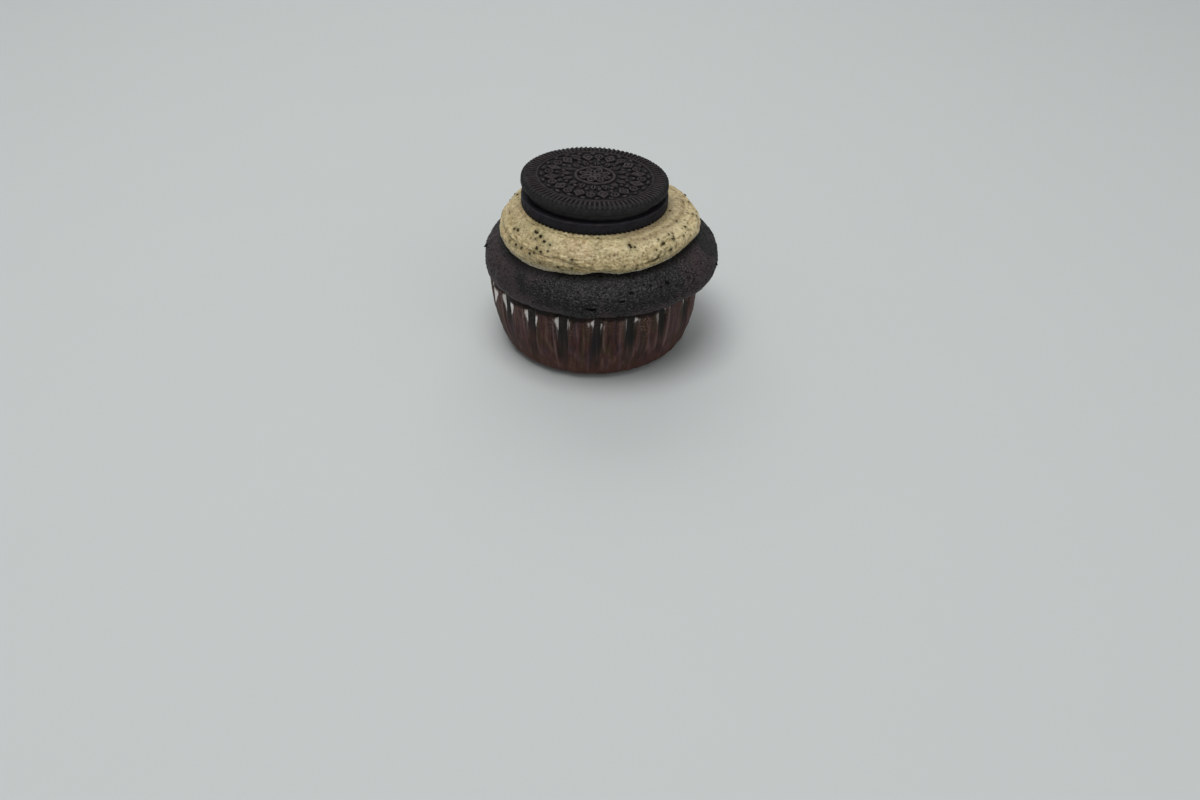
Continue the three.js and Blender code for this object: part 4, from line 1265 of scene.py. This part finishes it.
# larger ones round the back, as many as in front
for _ in range(46):
    a, z = 180.0 + rng.uniform(-72, 72), rng.uniform(39.0, 45.0)
    i = int(np.argmin((wrap(flat_az - a) * 0.5) ** 2 + (flat[:, 2] - z) ** 2
                      + 99.0 * (np.hypot(flat[:, 0] - LOW_CENTRE[0], flat[:, 1] - LOW_CENTRE[1]) < 23.3)))
    spots.append((flat[i], flat_n[i], rng.uniform(0.28, 0.58), rng.uniform(1.0, 1.4)))
count = 0
while count < 1700:
    i = int(rng.integers(len(flat)))
    if rng.uniform() > (0.35 + 0.9 * smooth(-0.25, 0.45, perlin(flat[i:i + 1], 5.0, 200)[0])) * (1 - 0.45 * bell(flat_az[i], -62, 30)):
        continue
    s = 0.07 + 0.12 * rng.uniform() ** 1.4 + (0.13 * rng.uniform() if rng.uniform() < 0.08 else 0.0)
    spots.append((flat[i], flat_n[i], s, rng.uniform(1.0, 1.7)))
    count += 1
speck = finish_piece(crumbs("frosting_crumbs", spots, rng, 0.74, False, 8, 0.25, 0.13),
                     mat_crumb("crumb_dark", (0.022, 0.0150, 0.006), (0.250, 0.170, 0.080)), "wafer")

# the cream is stained round every crumb
NR, NC = icing_rows.shape[:2]
halo = np.zeros((NR, NC))
for p, _, s, _ in spots:
    i = int(np.argmin(((flat - p) ** 2).sum(1)))
    r0, c0 = i // NC, i % NC
    ra, rb = max(r0 - 7, 0), min(r0 + 8, NR)
    cc = np.arange(c0 - 5, c0 + 6) % NC
    q = ((icing_rows[ra:rb][:, cc] - p) ** 2).sum(-1)
    halo[ra:rb, cc] = np.maximum(halo[ra:rb, cc], min(0.35 + 1.6 * s, 1.0) * np.exp(-q / (1.10 * s + 0.20) ** 2))
buf = np.zeros(len(icing.data.vertices), np.float32)
first = 1 + icing_first * NC
buf[first:first + NR * NC] = halo.ravel()
icing.data.attributes["halo"].data.foreach_set("value", buf)

# a few loose crumbs of cake on the crust
me = cake.data
co = np.empty(len(me.vertices) * 3, np.float32)
me.vertices.foreach_get("co", co)
co = co.reshape(-1, 3) / MM
nv = np.empty(len(me.vertices) * 3, np.float32)
me.vertices.foreach_get("normal", nv)
nv = nv.reshape(-1, 3)
rr = np.hypot(co[:, 0] - TOP_X, co[:, 1] - TOP_Y)
ok = np.where((rr > 31.5) & (co[:, 2] > 26.5) & (nv[:, 2] > -0.1))[0]
spots = []
caz = np.degrees(np.arctan2(co[:, 0] - TOP_X, -(co[:, 1] - TOP_Y)))
for a, z, s, st in ((-88.1, 31.0, 0.75, 1.3), (-90.5, 30.2, 0.5, 1.2), (77.0, 28.5, 0.5, 1.2), (-12.0, 33.5, 0.35, 1.2),
                    (47.0, 34.0, 0.35, 1.1), (152.0, 31.5, 0.55, 1.3), (-131.0, 32.5, 0.5, 1.2)):
    i = ok[int(np.argmin((wrap(caz[ok] - a) * 0.6) ** 2 + (co[ok, 2] - z) ** 2))]
    spots.append((co[i].astype(float), nv[i].astype(float), s, st))
for _ in range(240):
    i = int(ok[rng.integers(len(ok))])
    spots.append((co[i].astype(float), nv[i].astype(float), 0.10 + 0.22 * rng.uniform() ** 3, rng.uniform(1.0, 1.5)))
nub = finish_piece(crumbs("cake_crumbs", spots, rng, 0.25), mat_crumb("crumb_cake", (0.010, 0.008, 0.008), (0.022, 0.018, 0.017)), "cake")

# ---------------------------------------------------------- floor, light, camera
floor_co, floor_f = [], []
prof = [(-1600.0, 0.0), (700.0, 0.0)]
for k in range(1, 13):
    a = k / 12 * math.pi / 2
    prof.append((700.0 + 500.0 * math.sin(a), 500.0 * (1 - math.cos(a))))
prof.append((1200.0, 1600.0))
for y, z in prof:
    floor_co += [(-1800.0, y, z), (1800.0, y, z)]
for k in range(len(prof) - 1):
    floor_f.append((2 * k, 2 * k + 1, 2 * k + 3, 2 * k + 2))
floor = mesh_from("studio_floor", floor_co, [np.array(floor_f)])
floor.data.materials.append(mat_plain("studio_paper", srgb(199, 203, 202), 0.75))

world = bpy.data.worlds.new("studio")
bpy.context.scene.world = world
world.use_nodes = True
world.node_tree.nodes["Background"].inputs["Color"].default_value = (0.97, 0.985, 1.0, 1)
world.node_tree.nodes["Background"].inputs["Strength"].default_value = 0.30


def softbox(name, place, aim, size, power, color=(1, 1, 1)):
    light = bpy.data.lights.new(name, "AREA")
    light.shape = "RECTANGLE"
    light.size, light.size_y = size
    light.energy = power
    light.color = color
    ob = bpy.data.objects.new(name, light)
    bpy.context.scene.collection.objects.link(ob)
    from mathutils import Vector
    ob.location = Vector(place)
    ob.rotation_euler = (Vector(aim) - Vector(place)).to_track_quat("-Z", "Y").to_euler()
    return ob


softbox("key", (-0.11, -0.16, 1.02), (0, 0, 0.02), (0.6, 0.6), 6.0)
softbox("fill", (0.5, -0.8, 0.6), (0, 0, 0.02), (0.8, 0.6), 1.1)
softbox("back", (-0.1, 0.85, 0.75), (0, 0, 0.03), (1.1, 0.5), 3.0)

cam_data = bpy.data.cameras.new("camera")
cam_data.sensor_width = 36.0
cam_data.lens = 34.5
cam_data.clip_start = 0.01
cam_data.clip_end = 20.0
cam = bpy.data.objects.new("camera", cam_data)
bpy.context.scene.collection.objects.link(cam)
cam.location = (1.72 * MM, -318.9 * MM, 204.1 * MM)
cam.rotation_euler = (math.radians(90 - 36.2), 0, 0)
bpy.context.scene.camera = cam
bpy.context.scene.view_settings.view_transform = "Standard"
